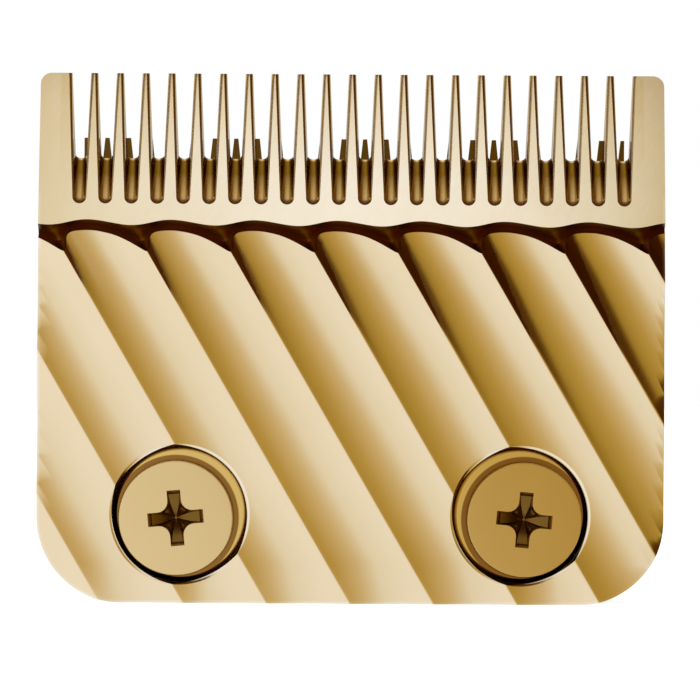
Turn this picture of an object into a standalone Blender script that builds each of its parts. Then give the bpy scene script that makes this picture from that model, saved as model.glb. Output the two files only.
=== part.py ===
"""Clipper blade head: a fluted fixed blade, the cutter that slides behind it, and its carrier.

The head stands upright on its bottom edge. +X is to the right, +Z is towards the tooth tips,
and the skin face of the blade looks along -Y, so the drive side is at +Y. The origin is in
the middle of the bottom edge. Lengths are metres, and MM turns millimetres into them.
"""

import math

import bmesh
import bpy
from mathutils import Matrix, Vector

MM = 0.001
CLEARANCE = 0.15 * MM  # between pieces that touch on the real head

# Fixed blade: a plate whose skin face is ground to a wedge at the teeth.
BLADE_WIDTH = 46.0 * MM
BLADE_HEIGHT = 38.95 * MM
BLADE_THICKNESS = 3.0 * MM
TIP_THICKNESS = 0.35 * MM
WEDGE_ANGLE = math.radians(13.0)
BOTTOM_RADIUS = 6.2 * MM
TIP_RADIUS = 0.8 * MM
HEAD_DEPTH = 12.0 * MM
FACE_Y = -HEAD_DEPTH / 2
BACK_Y = FACE_Y + BLADE_THICKNESS
REAR_Y = HEAD_DEPTH / 2

# Slots between the fixed teeth. Their floors slope from the skin face up to the back.
TOOTH_PITCH = 1.905 * MM
SLOT_COUNT = 22
SLOT_ROOT_FRONT = 29.34 * MM
SLOT_ROOT_BACK = 32.67 * MM
SLOT_ROOT_HALF = 0.50 * MM
SLOT_TIP_HALF = 0.70 * MM

# Diagonal flutes on the skin face, side by side with sharp ridges between them.
FLUTE_ANGLE = math.radians(30.2)
FLUTE_PITCH = 5.296 * MM
FLUTE_DEPTH = 0.45 * MM
FLUTE_PHASE = 5.445 * MM
FLUTE_TOP = 27.5 * MM
FLUTES_EACH_SIDE = 6

# Relief ground across the blade's back, between the teeth and the cutter's rail.
BACK_RELIEF_LOW = 22.8 * MM
BACK_RELIEF_HIGH = 28.4 * MM
BACK_RELIEF_DEPTH = 0.4 * MM

# Blade screws in tapered recesses, and the inserts that they screw into.
RECESS_X = 12.5 * MM
RECESS_Z = 6.5 * MM
RECESS_RIM_RADIUS = 5.0 * MM
RECESS_FLOOR_RADIUS = 4.65 * MM
RECESS_DEPTH = 1.75 * MM
BLADE_HOLE_RADIUS = 2.5 * MM
SCREW_X = 12.8 * MM
SCREW_Z = 6.2 * MM
SCREW_HEAD_RADIUS = 4.25 * MM
SCREW_HEAD_SUNK = 0.5 * MM
SCREW_HEAD_HEIGHT = 1.1 * MM
SCREW_SHANK_RADIUS = 1.9 * MM
SCREW_SHANK_LENGTH = 7.0 * MM
SCREW_TURN = math.radians(5.0)
CROSS_SPAN = 4.1 * MM
CROSS_ARM = 1.0 * MM
CROSS_DEPTH = 0.8 * MM
INSERT_RADIUS = 3.1 * MM
INSERT_BORE = 2.1 * MM
INSERT_LENGTH = 5.6 * MM

# Moving cutter.
CUTTER_TOOTH_PITCH = 1.5875 * MM
CUTTER_SLOT_COUNT = 25
CUTTER_WIDTH = 39.9 * MM
CUTTER_OFFSET = CUTTER_TOOTH_PITCH / 10
CUTTER_LOW = 19.5 * MM
CUTTER_TIP = 34.19 * MM
CUTTER_SLOT_ROOT = 31.0 * MM
CUTTER_SLOT_ROOT_HALF = 0.34 * MM
CUTTER_SLOT_TIP_HALF = 0.64 * MM
CUTTER_THICKNESS = 1.8 * MM
CUTTER_TIP_THICKNESS = 0.5 * MM
CUTTER_BEVEL_LOW = 29.0 * MM
CUTTER_RELIEF_LOW = 22.4 * MM
CUTTER_RELIEF_HIGH = 28.8 * MM
CUTTER_RELIEF_DEPTH = 0.25 * MM
CUTTER_FRONT = BACK_Y + CLEARANCE
CUTTER_REAR = CUTTER_FRONT + CUTTER_THICKNESS

# Plastic guide on the cutter's back, with the slot that the drive pin of a motor turns in.
GUIDE_HALF_WIDTH = 15.5 * MM
GUIDE_LOW = 23.3 * MM
GUIDE_PLATE_HIGH = 29.6 * MM
GUIDE_HIGH = 30.6 * MM
GUIDE_PLATE = 1.6 * MM
GUIDE_FRONT = CUTTER_REAR + CLEARANCE
GUIDE_REAR = GUIDE_FRONT + GUIDE_PLATE
DRIVE_BOSS_HALF = 4.6 * MM
DRIVE_BOSS_REAR = 4.6 * MM
DRIVE_SLOT_HALF = 2.2 * MM
DRIVE_SLOT_LOW = 24.3 * MM
DRIVE_SLOT_HIGH = 29.3 * MM
DRIVE_SLOT_FLOOR = 0.1 * MM
GUIDE_SCREW_X = 7.4 * MM
GUIDE_SCREW_Z = 26.2 * MM
GUIDE_SCREW_RADIUS = 1.0 * MM
GUIDE_SCREW_HEAD = 1.8 * MM
RAIL_LIP_HEIGHT = 0.7 * MM
RAIL_LIP_Z = 28.6 * MM

# Taper slide: a stem in the frame's channel and a crosshead that carries the springs.
STEM_HALF = 7.2 * MM
STEM_LOW = 2.0 * MM
STEM_FRONT = -1.1 * MM
STEM_WEB = 2.0 * MM
FLANGE_INNER = 4.9 * MM
FLANGE_REAR = 4.3 * MM
CROSSHEAD_HALF = 15.2 * MM
CROSSHEAD_LOW = 18.4 * MM
CROSSHEAD_HIGH = 22.6 * MM
CROSSHEAD_FRONT = -0.6 * MM
CROSSHEAD_REAR = 1.1 * MM
EAR_INNER = 8.2 * MM
EAR_OUTER = 13.8 * MM
EAR_THICKNESS = 1.3 * MM
EAR_REAR = 4.9 * MM
SLIDE_PIN_RADIUS = 1.4 * MM
SLIDE_PIN_Z = 6.5 * MM

# Tension springs: three turns round a pin, one long arm on the guide, one short leg.
SPRING_WIRE = 0.9 * MM
SPRING_COIL_RADIUS = 1.75 * MM
SPRING_TURNS = 3
SPRING_TURN_POINTS = 14
SPRING_LEAD = 1.0 * MM
SPRING_AXIS_Y = 3.45 * MM
SPRING_AXIS_Z = 20.6 * MM
SPRING_ARM_TOP = 27.4 * MM
SPRING_LEG_LOW = 18.7 * MM
SPRING_PIN_RADIUS = 0.9 * MM

# Carrier frame, its channel and rails, and the plate that closes it.
FRAME_HALF = 22.0 * MM
FRAME_HIGH = 18.0 * MM
FRAME_RADIUS = 5.6 * MM
FRAME_FRONT = BACK_Y + CLEARANCE
FRAME_REAR = 4.6 * MM
CHANNEL_HALF = 8.5 * MM
CHANNEL_LOW = 1.5 * MM
CHANNEL_FRONT = -1.4 * MM
RAIL_THICKNESS = 0.8 * MM
COVER_FRONT = FRAME_REAR + CLEARANCE
COVER_HALF = 20.6 * MM
COVER_LOW = 1.2 * MM
COVER_HIGH = 17.4 * MM
COVER_RADIUS = 4.4 * MM
COVER_SLOT_HALF = 1.9 * MM
COVER_SLOT_LOW = 4.6 * MM
COVER_SLOT_HIGH = 12.4 * MM
COVER_SCREW_X = 17.2 * MM
COVER_SCREW_Z = 13.2 * MM
COVER_SCREW_RADIUS = 1.1 * MM
COVER_SCREW_HEAD = 2.1 * MM
COVER_SCREW_SINK = 0.9 * MM
COVER_SCREW_LENGTH = 6.0 * MM
LEAF_HALF = 2.6 * MM
LEAF_LOW = 12.6 * MM
LEAF_HIGH = 17.2 * MM
LEAF_THICKNESS = 0.35 * MM

ROUND_STEPS = 32
CORNER_STEPS = 6
SMOOTH_ANGLE = math.radians(35.0)
SIDES = (("left", -1), ("right", 1))

GOLD = ("titanium_gold", (0.78, 0.55, 0.22), 0.25, 1.0)
SCREW_GOLD = ("screw_gold", (0.72, 0.48, 0.16), 0.30, 1.0)
CUTTER_STEEL = ("cutter_steel", (0.78, 0.56, 0.25), 0.30, 1.0)
SPRING_STEEL = ("spring_steel", (0.55, 0.55, 0.57), 0.30, 1.0)
PIN_STEEL = ("pin_steel", (0.62, 0.62, 0.64), 0.25, 1.0)
BRASS = ("insert_brass", (0.70, 0.52, 0.22), 0.35, 1.0)
FRAME_BLACK = ("frame_black", (0.03, 0.03, 0.03), 0.50, 0.0)
GUIDE_PLASTIC = ("guide_plastic", (0.05, 0.05, 0.055), 0.40, 0.0)
COVER_STEEL = ("cover_steel", (0.50, 0.50, 0.52), 0.35, 1.0)
CAST_SLIDE = ("cast_slide", (0.42, 0.42, 0.43), 0.45, 1.0)


def clear_scene():
    """Remove every object, so that a second run starts from nothing."""
    for old in list(bpy.data.objects):
        bpy.data.objects.remove(old, do_unlink=True)


def material(look):
    """Return the Principled material for a (name, colour, roughness, metallic) look."""
    name, colour, roughness, metallic = look
    found = bpy.data.materials.get(name) or bpy.data.materials.new(name)
    found.use_nodes = True
    shader = found.node_tree.nodes["Principled BSDF"]
    shader.inputs["Base Color"].default_value = (*colour, 1.0)
    shader.inputs["Roughness"].default_value = roughness
    shader.inputs["Metallic"].default_value = metallic
    return found


def new_object(name, bm, look=None, location=(0, 0, 0), parent=None):
    """Make an object from a bmesh; without a look it is a hidden cutter."""
    bmesh.ops.recalc_face_normals(bm, faces=bm.faces)
    mesh = bpy.data.meshes.new(name)
    bm.to_mesh(mesh)
    bm.free()
    mesh.shade_smooth()
    mesh.set_sharp_from_angle(angle=SMOOTH_ANGLE)
    made = bpy.data.objects.new(name, mesh)
    bpy.context.collection.objects.link(made)
    made.location = location
    made.parent = parent
    if look:
        mesh.materials.append(material(look))
    else:
        made.hide_render = True
        made.display_type = "WIRE"
    return made


def boolean(target, operation, bm):
    """Add a Boolean modifier that joins or cuts with the solid in bm, in world places."""
    tool = new_object(f"{target.name}_tool_{len(target.modifiers)}", bm)
    modifier = target.modifiers.new(operation.lower(), "BOOLEAN")
    modifier.operation = operation
    modifier.solver = "EXACT"
    modifier.object = tool
    return target


def cut(target, bm):
    """Cut the solid in bm out of the target."""
    return boolean(target, "DIFFERENCE", bm)


def join(target, bm):
    """Join the solid in bm to the target."""
    return boolean(target, "UNION", bm)


def edge_bevel(target, width):
    """Round the target's sharp edges a little."""
    modifier = target.modifiers.new("edge", "BEVEL")
    modifier.width = width
    modifier.segments = 1
    modifier.limit_method = "ANGLE"
    modifier.angle_limit = math.radians(50.0)
    return target


def slab(outline, y_from, y_to):
    """Return the solid of an (x, z) outline extruded along Y."""
    bm = bmesh.new()
    face = bm.faces.new([bm.verts.new((x, y_from, z)) for x, z in outline])
    grown = bmesh.ops.extrude_face_region(bm, geom=[face])["geom"]
    moved = [item for item in grown if isinstance(item, bmesh.types.BMVert)]
    bmesh.ops.translate(bm, vec=(0, y_to - y_from, 0), verts=moved)
    return bm


def side_slab(outline, x_from, x_to):
    """Return the solid of a (y, z) outline extruded along X."""
    bm = bmesh.new()
    face = bm.faces.new([bm.verts.new((x_from, y, z)) for y, z in outline])
    grown = bmesh.ops.extrude_face_region(bm, geom=[face])["geom"]
    moved = [item for item in grown if isinstance(item, bmesh.types.BMVert)]
    bmesh.ops.translate(bm, vec=(x_to - x_from, 0, 0), verts=moved)
    return bm


def box(low, high):
    """Return a box between two corners."""
    bm = bmesh.new()
    size = Vector(high) - Vector(low)
    centre = (Vector(high) + Vector(low)) / 2
    bmesh.ops.create_cube(bm, size=1.0)
    bmesh.ops.scale(bm, vec=size, verts=bm.verts)
    bmesh.ops.translate(bm, vec=centre, verts=bm.verts)
    return bm


def along_y(radius_front, radius_rear, y_from, y_to, x=0.0, z=0.0, steps=ROUND_STEPS):
    """Return a cylinder or cone along Y, from its front end to its rear end."""
    bm = bmesh.new()
    bmesh.ops.create_cone(
        bm,
        cap_ends=True,
        segments=steps,
        radius1=radius_rear,
        radius2=radius_front,
        depth=y_to - y_from,
        matrix=Matrix.Rotation(math.radians(90.0), 4, "X"),
    )
    bmesh.ops.translate(bm, vec=(x, (y_from + y_to) / 2, z), verts=bm.verts)
    return bm


def along_x(radius, x_from, x_to, y, z, steps=ROUND_STEPS):
    """Return a cylinder along X."""
    bm = bmesh.new()
    bmesh.ops.create_cone(
        bm,
        cap_ends=True,
        segments=steps,
        radius1=radius,
        radius2=radius,
        depth=abs(x_to - x_from),
        matrix=Matrix.Rotation(math.radians(90.0), 4, "Y"),
    )
    bmesh.ops.translate(bm, vec=((x_from + x_to) / 2, y, z), verts=bm.verts)
    return bm


def merged(parts):
    """Return one bmesh that holds several separate solids, and free them."""
    whole = bmesh.new()
    for part in parts:
        copy = bpy.data.meshes.new("part")
        part.to_mesh(copy)
        part.free()
        whole.from_mesh(copy)
        bpy.data.meshes.remove(copy)
    return whole


def arc(centre_x, centre_z, radius, start, end, steps):
    """Return the points of an arc in the XZ plane, angles in degrees from +X towards +Z."""
    angles = [math.radians(start + (end - start) * i / steps) for i in range(steps + 1)]
    return [
        (centre_x + radius * math.cos(a), centre_z + radius * math.sin(a)) for a in angles
    ]


def rounded_outline(half, low, high, radius_low, radius_high):
    """Return a rectangle in XZ with one radius at its lower and one at its upper corners."""
    points = arc(half - radius_low, low + radius_low, radius_low, -90, 0, CORNER_STEPS)
    points += arc(half - radius_high, high - radius_high, radius_high, 0, 90, CORNER_STEPS)
    mirrored = [(-x, z) for x, z in reversed(points)]
    return points + mirrored


def skin_y(z):
    """Return where the ground wedge has its skin face, at height z."""
    return BACK_Y - TIP_THICKNESS - (BLADE_HEIGHT - z) * math.tan(WEDGE_ANGLE)


def fixed_slots():
    """Return the solids that cut the slots between the fixed teeth."""
    root = SLOT_ROOT_FRONT + SLOT_ROOT_HALF
    top = BLADE_HEIGHT + 4 * MM
    widening = (SLOT_TIP_HALF - SLOT_ROOT_HALF) / (BLADE_HEIGHT - SLOT_ROOT_BACK)
    top_half = SLOT_ROOT_HALF + widening * (top - root)
    front_y = skin_y(SLOT_ROOT_FRONT)
    slope = (SLOT_ROOT_BACK - SLOT_ROOT_FRONT) / (BACK_Y - front_y)
    y_from = front_y - 0.8 * MM
    y_to = BACK_Y + 0.5 * MM
    slots = []
    for i in range(SLOT_COUNT):
        x = (i - (SLOT_COUNT - 1) / 2) * TOOTH_PITCH
        outline = arc(x, root, SLOT_ROOT_HALF, 180, 360, CORNER_STEPS)
        outline += [(x + top_half, top), (x - top_half, top)]
        slot = slab(outline, y_from, y_to)
        for vert in slot.verts:
            vert.co.z += (vert.co.y - front_y) * slope
        slots.append(slot)
    return merged(slots)


def flute_cutter():
    """Return the corrugated solid that cuts all the flutes into the skin face."""
    steps = 6
    profile = []
    for i in range(-FLUTES_EACH_SIDE * steps, FLUTES_EACH_SIDE * steps + 1):
        across = i / steps
        dip = 1.0 - (2.0 * (across - math.floor(across)) - 1.0) ** 2
        profile.append((FLUTE_PHASE + across * FLUTE_PITCH, FACE_Y + FLUTE_DEPTH * dip))
    front = FACE_Y - 2 * MM
    profile += [(profile[-1][0], front), (profile[0][0], front)]
    reach = 45 * MM
    bm = bmesh.new()
    ends = []
    for v in (-reach, reach):
        ends.append([
            bm.verts.new((
                u * math.cos(FLUTE_ANGLE) + v * math.sin(FLUTE_ANGLE),
                y + 0.01 * MM,
                u * math.sin(FLUTE_ANGLE) - v * math.cos(FLUTE_ANGLE),
            ))
            for u, y in profile
        ])
    bm.faces.new(ends[0])
    bm.faces.new(ends[1])
    for i in range(len(profile)):
        j = (i + 1) % len(profile)
        bm.faces.new([ends[0][i], ends[0][j], ends[1][j], ends[1][i]])
    trim = Vector((0, FACE_Y, FLUTE_TOP))
    slope = Vector((0, 1, 1)).normalized()
    everything = bm.verts[:] + bm.edges[:] + bm.faces[:]
    bmesh.ops.bisect_plane(bm, geom=everything, plane_co=trim, plane_no=slope, clear_outer=True)
    bmesh.ops.holes_fill(bm, edges=[edge for edge in bm.edges if edge.is_boundary])
    return bm


def fixed_blade():
    """Plate with a ground wedge, 22 slots, diagonal flutes and two screw recesses."""
    half = BLADE_WIDTH / 2
    outline = rounded_outline(half, 0.0, BLADE_HEIGHT, BOTTOM_RADIUS, TIP_RADIUS)
    bm = slab(outline, FACE_Y, BACK_Y)
    tip = Vector((0, skin_y(BLADE_HEIGHT), BLADE_HEIGHT))
    wedge = Vector((0, -math.cos(WEDGE_ANGLE), math.sin(WEDGE_ANGLE)))
    everything = bm.verts[:] + bm.edges[:] + bm.faces[:]
    bmesh.ops.bisect_plane(bm, geom=everything, plane_co=tip, plane_no=wedge, clear_outer=True)
    bmesh.ops.holes_fill(bm, edges=[edge for edge in bm.edges if edge.is_boundary])
    blade = new_object("fixed_blade", bm, GOLD)
    cut(blade, flute_cutter())
    cut(blade, fixed_slots())
    over = 0.5 * MM
    taper = (RECESS_RIM_RADIUS - RECESS_FLOOR_RADIUS) / RECESS_DEPTH
    floor = FACE_Y + RECESS_DEPTH
    mouth = RECESS_RIM_RADIUS + taper * over
    recesses = []
    for _, side in SIDES:
        x = side * RECESS_X
        recesses.append(along_y(mouth, RECESS_FLOOR_RADIUS, FACE_Y - over, floor, x, RECESS_Z))
    cut(blade, merged(recesses))
    holes = [
        along_y(BLADE_HOLE_RADIUS, BLADE_HOLE_RADIUS, FACE_Y, BACK_Y + over, side * SCREW_X, SCREW_Z)
        for _, side in SIDES
    ]
    cut(blade, merged(holes))
    relief = box(
        (-half - over, BACK_Y - BACK_RELIEF_DEPTH, BACK_RELIEF_LOW),
        (half + over, BACK_Y + over, BACK_RELIEF_HIGH),
    )
    return cut(blade, relief)


def cross_recess(span, arm, y_from, depth):
    """Return the tapered cross that a cross-head driver fits, centred on Y."""
    arms = []
    for length, width in ((span, arm), (arm, span)):
        bar = box((-length / 2, y_from - depth, -width / 2), (length / 2, y_from + depth, width / 2))
        for vert in bar.verts:
            if vert.co.y > y_from:
                vert.co.x *= 0.55
                vert.co.z *= 0.55
        arms.append(bar)
    return arms


def blade_screw(label, side):
    """Flat cross-head screw: head, shank and cross recess, turned as it was left."""
    place = (side * SCREW_X, 0, SCREW_Z)
    top = FACE_Y + SCREW_HEAD_SUNK
    under = top + SCREW_HEAD_HEIGHT
    chamfer = 0.12 * MM
    rim = SCREW_HEAD_RADIUS
    profile = [
        (0, top),
        (rim - chamfer, top),
        (rim, top + chamfer),
        (rim, under),
        (SCREW_SHANK_RADIUS, under),
        (SCREW_SHANK_RADIUS, top + SCREW_SHANK_LENGTH - 0.4 * MM),
        (SCREW_SHANK_RADIUS - 0.4 * MM, top + SCREW_SHANK_LENGTH),
        (0, top + SCREW_SHANK_LENGTH),
    ]
    screw = new_object(f"blade_screw_{label}", turned(profile), SCREW_GOLD, place)
    screw.rotation_euler = (0, side * SCREW_TURN, 0)
    for bar in cross_recess(CROSS_SPAN, CROSS_ARM, top, CROSS_DEPTH):
        bmesh.ops.rotate(
            bar, matrix=Matrix.Rotation(side * SCREW_TURN, 3, "Y"), verts=bar.verts
        )
        bmesh.ops.translate(bar, vec=place, verts=bar.verts)
        cut(screw, bar)
    return screw


def turned(profile, steps=ROUND_STEPS):
    """Return the closed solid of a (radius, y) profile spun round the Y axis."""
    bm = bmesh.new()
    verts = [bm.verts.new((radius, y, 0)) for radius, y in profile]
    edges = [bm.edges.new(pair) for pair in zip(verts, verts[1:])]
    bmesh.ops.spin(
        bm,
        geom=verts + edges,
        axis=(0, 1, 0),
        cent=(0, 0, 0),
        angle=math.tau,
        steps=steps,
        use_merge=True,
    )
    bmesh.ops.remove_doubles(bm, verts=bm.verts, dist=0.0001 * MM)
    return bm


def threaded_insert(label, side):
    """Brass sleeve in the frame, with a knurl band, that holds a blade screw."""
    start = FRAME_FRONT
    end = start + INSERT_LENGTH
    band = 0.25 * MM
    outer = INSERT_RADIUS
    profile = [
        (INSERT_BORE, start),
        (outer, start),
        (outer, start + 2.2 * MM),
        (outer - band, start + 2.5 * MM),
        (outer - band, start + 3.3 * MM),
        (outer, start + 3.6 * MM),
        (outer, end),
        (INSERT_BORE, end),
        (INSERT_BORE, start),
    ]
    place = (side * SCREW_X, 0, SCREW_Z)
    return new_object(f"threaded_insert_{label}", turned(profile), BRASS, place)


def carrier_frame():
    """Moulded frame behind the blade, with a channel for the taper slide."""
    outline = rounded_outline(FRAME_HALF, 0.0, FRAME_HIGH, FRAME_RADIUS, 1.0 * MM)
    frame = new_object("carrier_frame", slab(outline, FRAME_FRONT, FRAME_REAR), FRAME_BLACK)
    over = 1.0 * MM
    channel = box(
        (-CHANNEL_HALF, CHANNEL_FRONT, CHANNEL_LOW),
        (CHANNEL_HALF, FRAME_REAR + over, FRAME_HIGH + over),
    )
    cut(frame, channel)
    bore = INSERT_RADIUS + CLEARANCE
    bore_end = FRAME_FRONT + INSERT_LENGTH + CLEARANCE
    bores = [
        along_y(bore, bore, FRAME_FRONT - over, bore_end, side * SCREW_X, SCREW_Z)
        for _, side in SIDES
    ]
    cut(frame, merged(bores))
    thread = COVER_SCREW_RADIUS + CLEARANCE
    thread_end = REAR_Y - COVER_SCREW_LENGTH - 0.3 * MM
    threads = [
        along_y(thread, thread, thread_end, FRAME_REAR + over, side * COVER_SCREW_X, COVER_SCREW_Z)
        for _, side in SIDES
    ]
    return cut(frame, merged(threads))


def slide_rail(label, side):
    """Wear rail that lines one wall of the channel."""
    gap = CLEARANCE
    inner = CHANNEL_HALF - gap - RAIL_THICKNESS
    outer = CHANNEL_HALF - gap
    low = (min(side * inner, side * outer), CHANNEL_FRONT + gap, CHANNEL_LOW + gap)
    high = (max(side * inner, side * outer), FRAME_REAR - gap, FRAME_HIGH - 0.3 * MM)
    return edge_bevel(new_object(f"slide_rail_{label}", box(low, high), PIN_STEEL), 0.1 * MM)


def rear_cover():
    """Plate that closes the channel; its flat back seats on the clipper body."""
    outline = rounded_outline(COVER_HALF, COVER_LOW, COVER_HIGH, COVER_RADIUS, 1.5 * MM)
    cover = new_object("rear_cover", slab(outline, COVER_FRONT, REAR_Y), COVER_STEEL)
    over = 0.5 * MM
    radius = COVER_SLOT_HALF
    slot = arc(0, COVER_SLOT_LOW + radius, radius, 180, 360, 8)
    slot += arc(0, COVER_SLOT_HIGH - radius, radius, 0, 180, 8)
    cut(cover, slab(slot, COVER_FRONT - over, REAR_Y + over))
    neck = COVER_SCREW_RADIUS + CLEARANCE
    head = COVER_SCREW_HEAD + CLEARANCE
    sink = REAR_Y - COVER_SCREW_SINK - CLEARANCE
    necks = []
    heads = []
    for _, side in SIDES:
        x = side * COVER_SCREW_X
        necks.append(along_y(neck, neck, COVER_FRONT - over, REAR_Y, x, COVER_SCREW_Z))
        heads.append(along_y(neck, head, sink, REAR_Y, x, COVER_SCREW_Z))
        heads.append(along_y(head, head, REAR_Y - 0.01 * MM, REAR_Y + over, x, COVER_SCREW_Z))
    cut(cover, merged(necks))
    cut(cover, merged(heads[0::2]))
    return cut(cover, merged(heads[1::2]))


def cover_screw(label, side):
    """Small countersunk screw, flush with the back of the cover."""
    top = REAR_Y - 0.05 * MM
    shoulder = REAR_Y - COVER_SCREW_SINK
    tip = REAR_Y - COVER_SCREW_LENGTH
    profile = [
        (0, tip),
        (COVER_SCREW_RADIUS, tip),
        (COVER_SCREW_RADIUS, shoulder),
        (COVER_SCREW_HEAD, top),
        (0, top),
    ]
    place = (side * COVER_SCREW_X, 0, COVER_SCREW_Z)
    screw = new_object(f"cover_screw_{label}", turned(profile), PIN_STEEL, place)
    for bar in cross_recess(2.2 * MM, 0.5 * MM, -top, 0.45 * MM):
        bmesh.ops.rotate(bar, matrix=Matrix.Rotation(math.pi, 3, "Z"), verts=bar.verts)
        bmesh.ops.translate(bar, vec=place, verts=bar.verts)
        cut(screw, bar)
    return screw


def friction_leaf():
    """Bowed leaf between the cover and the slide, which holds the slide where it is set."""
    steps = 10
    near_cover = COVER_FRONT - CLEARANCE
    near_slide = STEM_FRONT + STEM_WEB + CLEARANCE + LEAF_THICKNESS
    rear = []
    for i in range(steps + 1):
        along = i / steps
        bow = math.sin(math.pi * along) ** 2
        rear.append((near_cover - bow * (near_cover - near_slide), LEAF_LOW + along * (LEAF_HIGH - LEAF_LOW)))
    front = [(y - LEAF_THICKNESS, z) for y, z in reversed(rear)]
    return new_object("slide_friction_leaf", side_slab(rear + front, -LEAF_HALF, LEAF_HALF), SPRING_STEEL)


def taper_slide(carrier):
    """Stem with two flanges, and a crosshead with four ears for the spring pins."""
    web_rear = STEM_FRONT + STEM_WEB
    overlap = 0.3 * MM
    body = box((-STEM_HALF, STEM_FRONT, STEM_LOW), (STEM_HALF, web_rear, CROSSHEAD_LOW + overlap))
    slide = new_object("taper_slide", body, CAST_SLIDE, parent=carrier)
    for _, side in SIDES:
        x_pair = sorted((side * FLANGE_INNER, side * STEM_HALF))
        flange = box(
            (x_pair[0], web_rear - overlap, STEM_LOW),
            (x_pair[1], FLANGE_REAR, CROSSHEAD_LOW - overlap),
        )
        join(slide, flange)
    crosshead = box(
        (-CROSSHEAD_HALF, CROSSHEAD_FRONT, CROSSHEAD_LOW),
        (CROSSHEAD_HALF, CROSSHEAD_REAR, CROSSHEAD_HIGH),
    )
    join(slide, crosshead)
    ears = []
    for _, side in SIDES:
        for inner in (EAR_INNER, EAR_OUTER):
            x_pair = sorted((side * inner, side * (inner + EAR_THICKNESS)))
            ear = box(
                (x_pair[0], CROSSHEAD_REAR - overlap, CROSSHEAD_LOW),
                (x_pair[1], EAR_REAR, CROSSHEAD_HIGH),
            )
            ears.append(ear)
    join(slide, merged(ears))
    bore = SPRING_PIN_RADIUS + CLEARANCE
    reach = EAR_OUTER + EAR_THICKNESS + 1 * MM
    pins = [
        along_x(bore, side * 7 * MM, side * reach, SPRING_AXIS_Y, SPRING_AXIS_Z, 16)
        for _, side in SIDES
    ]
    cut(slide, merged(pins))
    hole = SLIDE_PIN_RADIUS + CLEARANCE
    return cut(slide, along_y(hole, hole, STEM_FRONT - 1 * MM, web_rear + 1 * MM, 0, SLIDE_PIN_Z, 24))


def slide_drive_pin(carrier):
    """Pin in the slide that the clipper's taper lever moves, reached through the cover."""
    end = REAR_Y - 0.2 * MM
    chamfer = 0.3 * MM
    collar = SLIDE_PIN_RADIUS + 0.7 * MM
    collar_front = STEM_FRONT + STEM_WEB + CLEARANCE
    profile = [
        (0, STEM_FRONT + CLEARANCE),
        (SLIDE_PIN_RADIUS, STEM_FRONT + CLEARANCE),
        (SLIDE_PIN_RADIUS, collar_front),
        (collar, collar_front),
        (collar, collar_front + 0.8 * MM),
        (SLIDE_PIN_RADIUS, collar_front + 0.8 * MM),
        (SLIDE_PIN_RADIUS, end - chamfer),
        (SLIDE_PIN_RADIUS - chamfer, end),
        (0, end),
    ]
    place = (0, 0, SLIDE_PIN_Z)
    return new_object("slide_drive_pin", turned(profile, 24), PIN_STEEL, place, carrier)


def spring_pin(label, side, carrier):
    """Headed pin through two ears, inside the coil of a tension spring."""
    inner = EAR_INNER - 0.4 * MM
    outer = EAR_OUTER + EAR_THICKNESS + CLEARANCE
    y, z = SPRING_AXIS_Y, SPRING_AXIS_Z
    shaft = along_x(SPRING_PIN_RADIUS, side * inner, side * outer, y, z, 16)
    pin = new_object(f"spring_pin_{label}", shaft, PIN_STEEL, parent=carrier)
    head = along_x(1.4 * MM, side * (outer - 0.01 * MM), side * (outer + 0.7 * MM), y, z, 16)
    return join(pin, head)


def spring_points(side):
    """Return the route of a spring's wire: short leg, coil, then the long arm."""
    start_x = side * (EAR_INNER + EAR_THICKNESS + 0.65 * MM)
    front_y = SPRING_AXIS_Y - SPRING_COIL_RADIUS
    points = [(start_x, front_y - 0.02 * MM, SPRING_LEG_LOW)]
    count = SPRING_TURNS * SPRING_TURN_POINTS
    for i in range(count + 1):
        turn = i / SPRING_TURN_POINTS
        angle = math.pi - math.tau * turn
        points.append((
            start_x + side * SPRING_LEAD * turn,
            SPRING_AXIS_Y + SPRING_COIL_RADIUS * math.cos(angle),
            SPRING_AXIS_Z + SPRING_COIL_RADIUS * math.sin(angle),
        ))
    end_x = points[-1][0]
    contact_y = GUIDE_REAR + CLEARANCE + SPRING_WIRE / 2
    hook = 1.0 * MM
    bend = [(end_x, front_y, SPRING_AXIS_Z + 1.4 * MM)]
    bend.append((end_x, contact_y, SPRING_ARM_TOP - hook))
    for i in range(1, 4):
        angle = math.radians(30 * i)
        x = end_x - side * hook * (1 - math.cos(angle))
        bend.append((x, contact_y, SPRING_ARM_TOP - hook + hook * math.sin(angle)))
    bend.append((end_x - side * 2.4 * MM, contact_y, SPRING_ARM_TOP))
    return points + bend


def tension_spring(label, side, carrier):
    """Round-wire spring that presses the cutter guide towards the fixed blade."""
    name = f"tension_spring_{label}"
    curve = bpy.data.curves.new(name, "CURVE")
    curve.dimensions = "3D"
    curve.bevel_depth = SPRING_WIRE / 2
    curve.bevel_resolution = 1
    curve.use_fill_caps = True
    points = spring_points(side)
    spline = curve.splines.new("POLY")
    spline.points.add(len(points) - 1)
    for point, place in zip(spline.points, points):
        point.co = (*place, 1.0)
    curve.materials.append(material(SPRING_STEEL))
    spring = bpy.data.objects.new(name, curve)
    spring.parent = carrier
    bpy.context.collection.objects.link(spring)
    return spring


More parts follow.
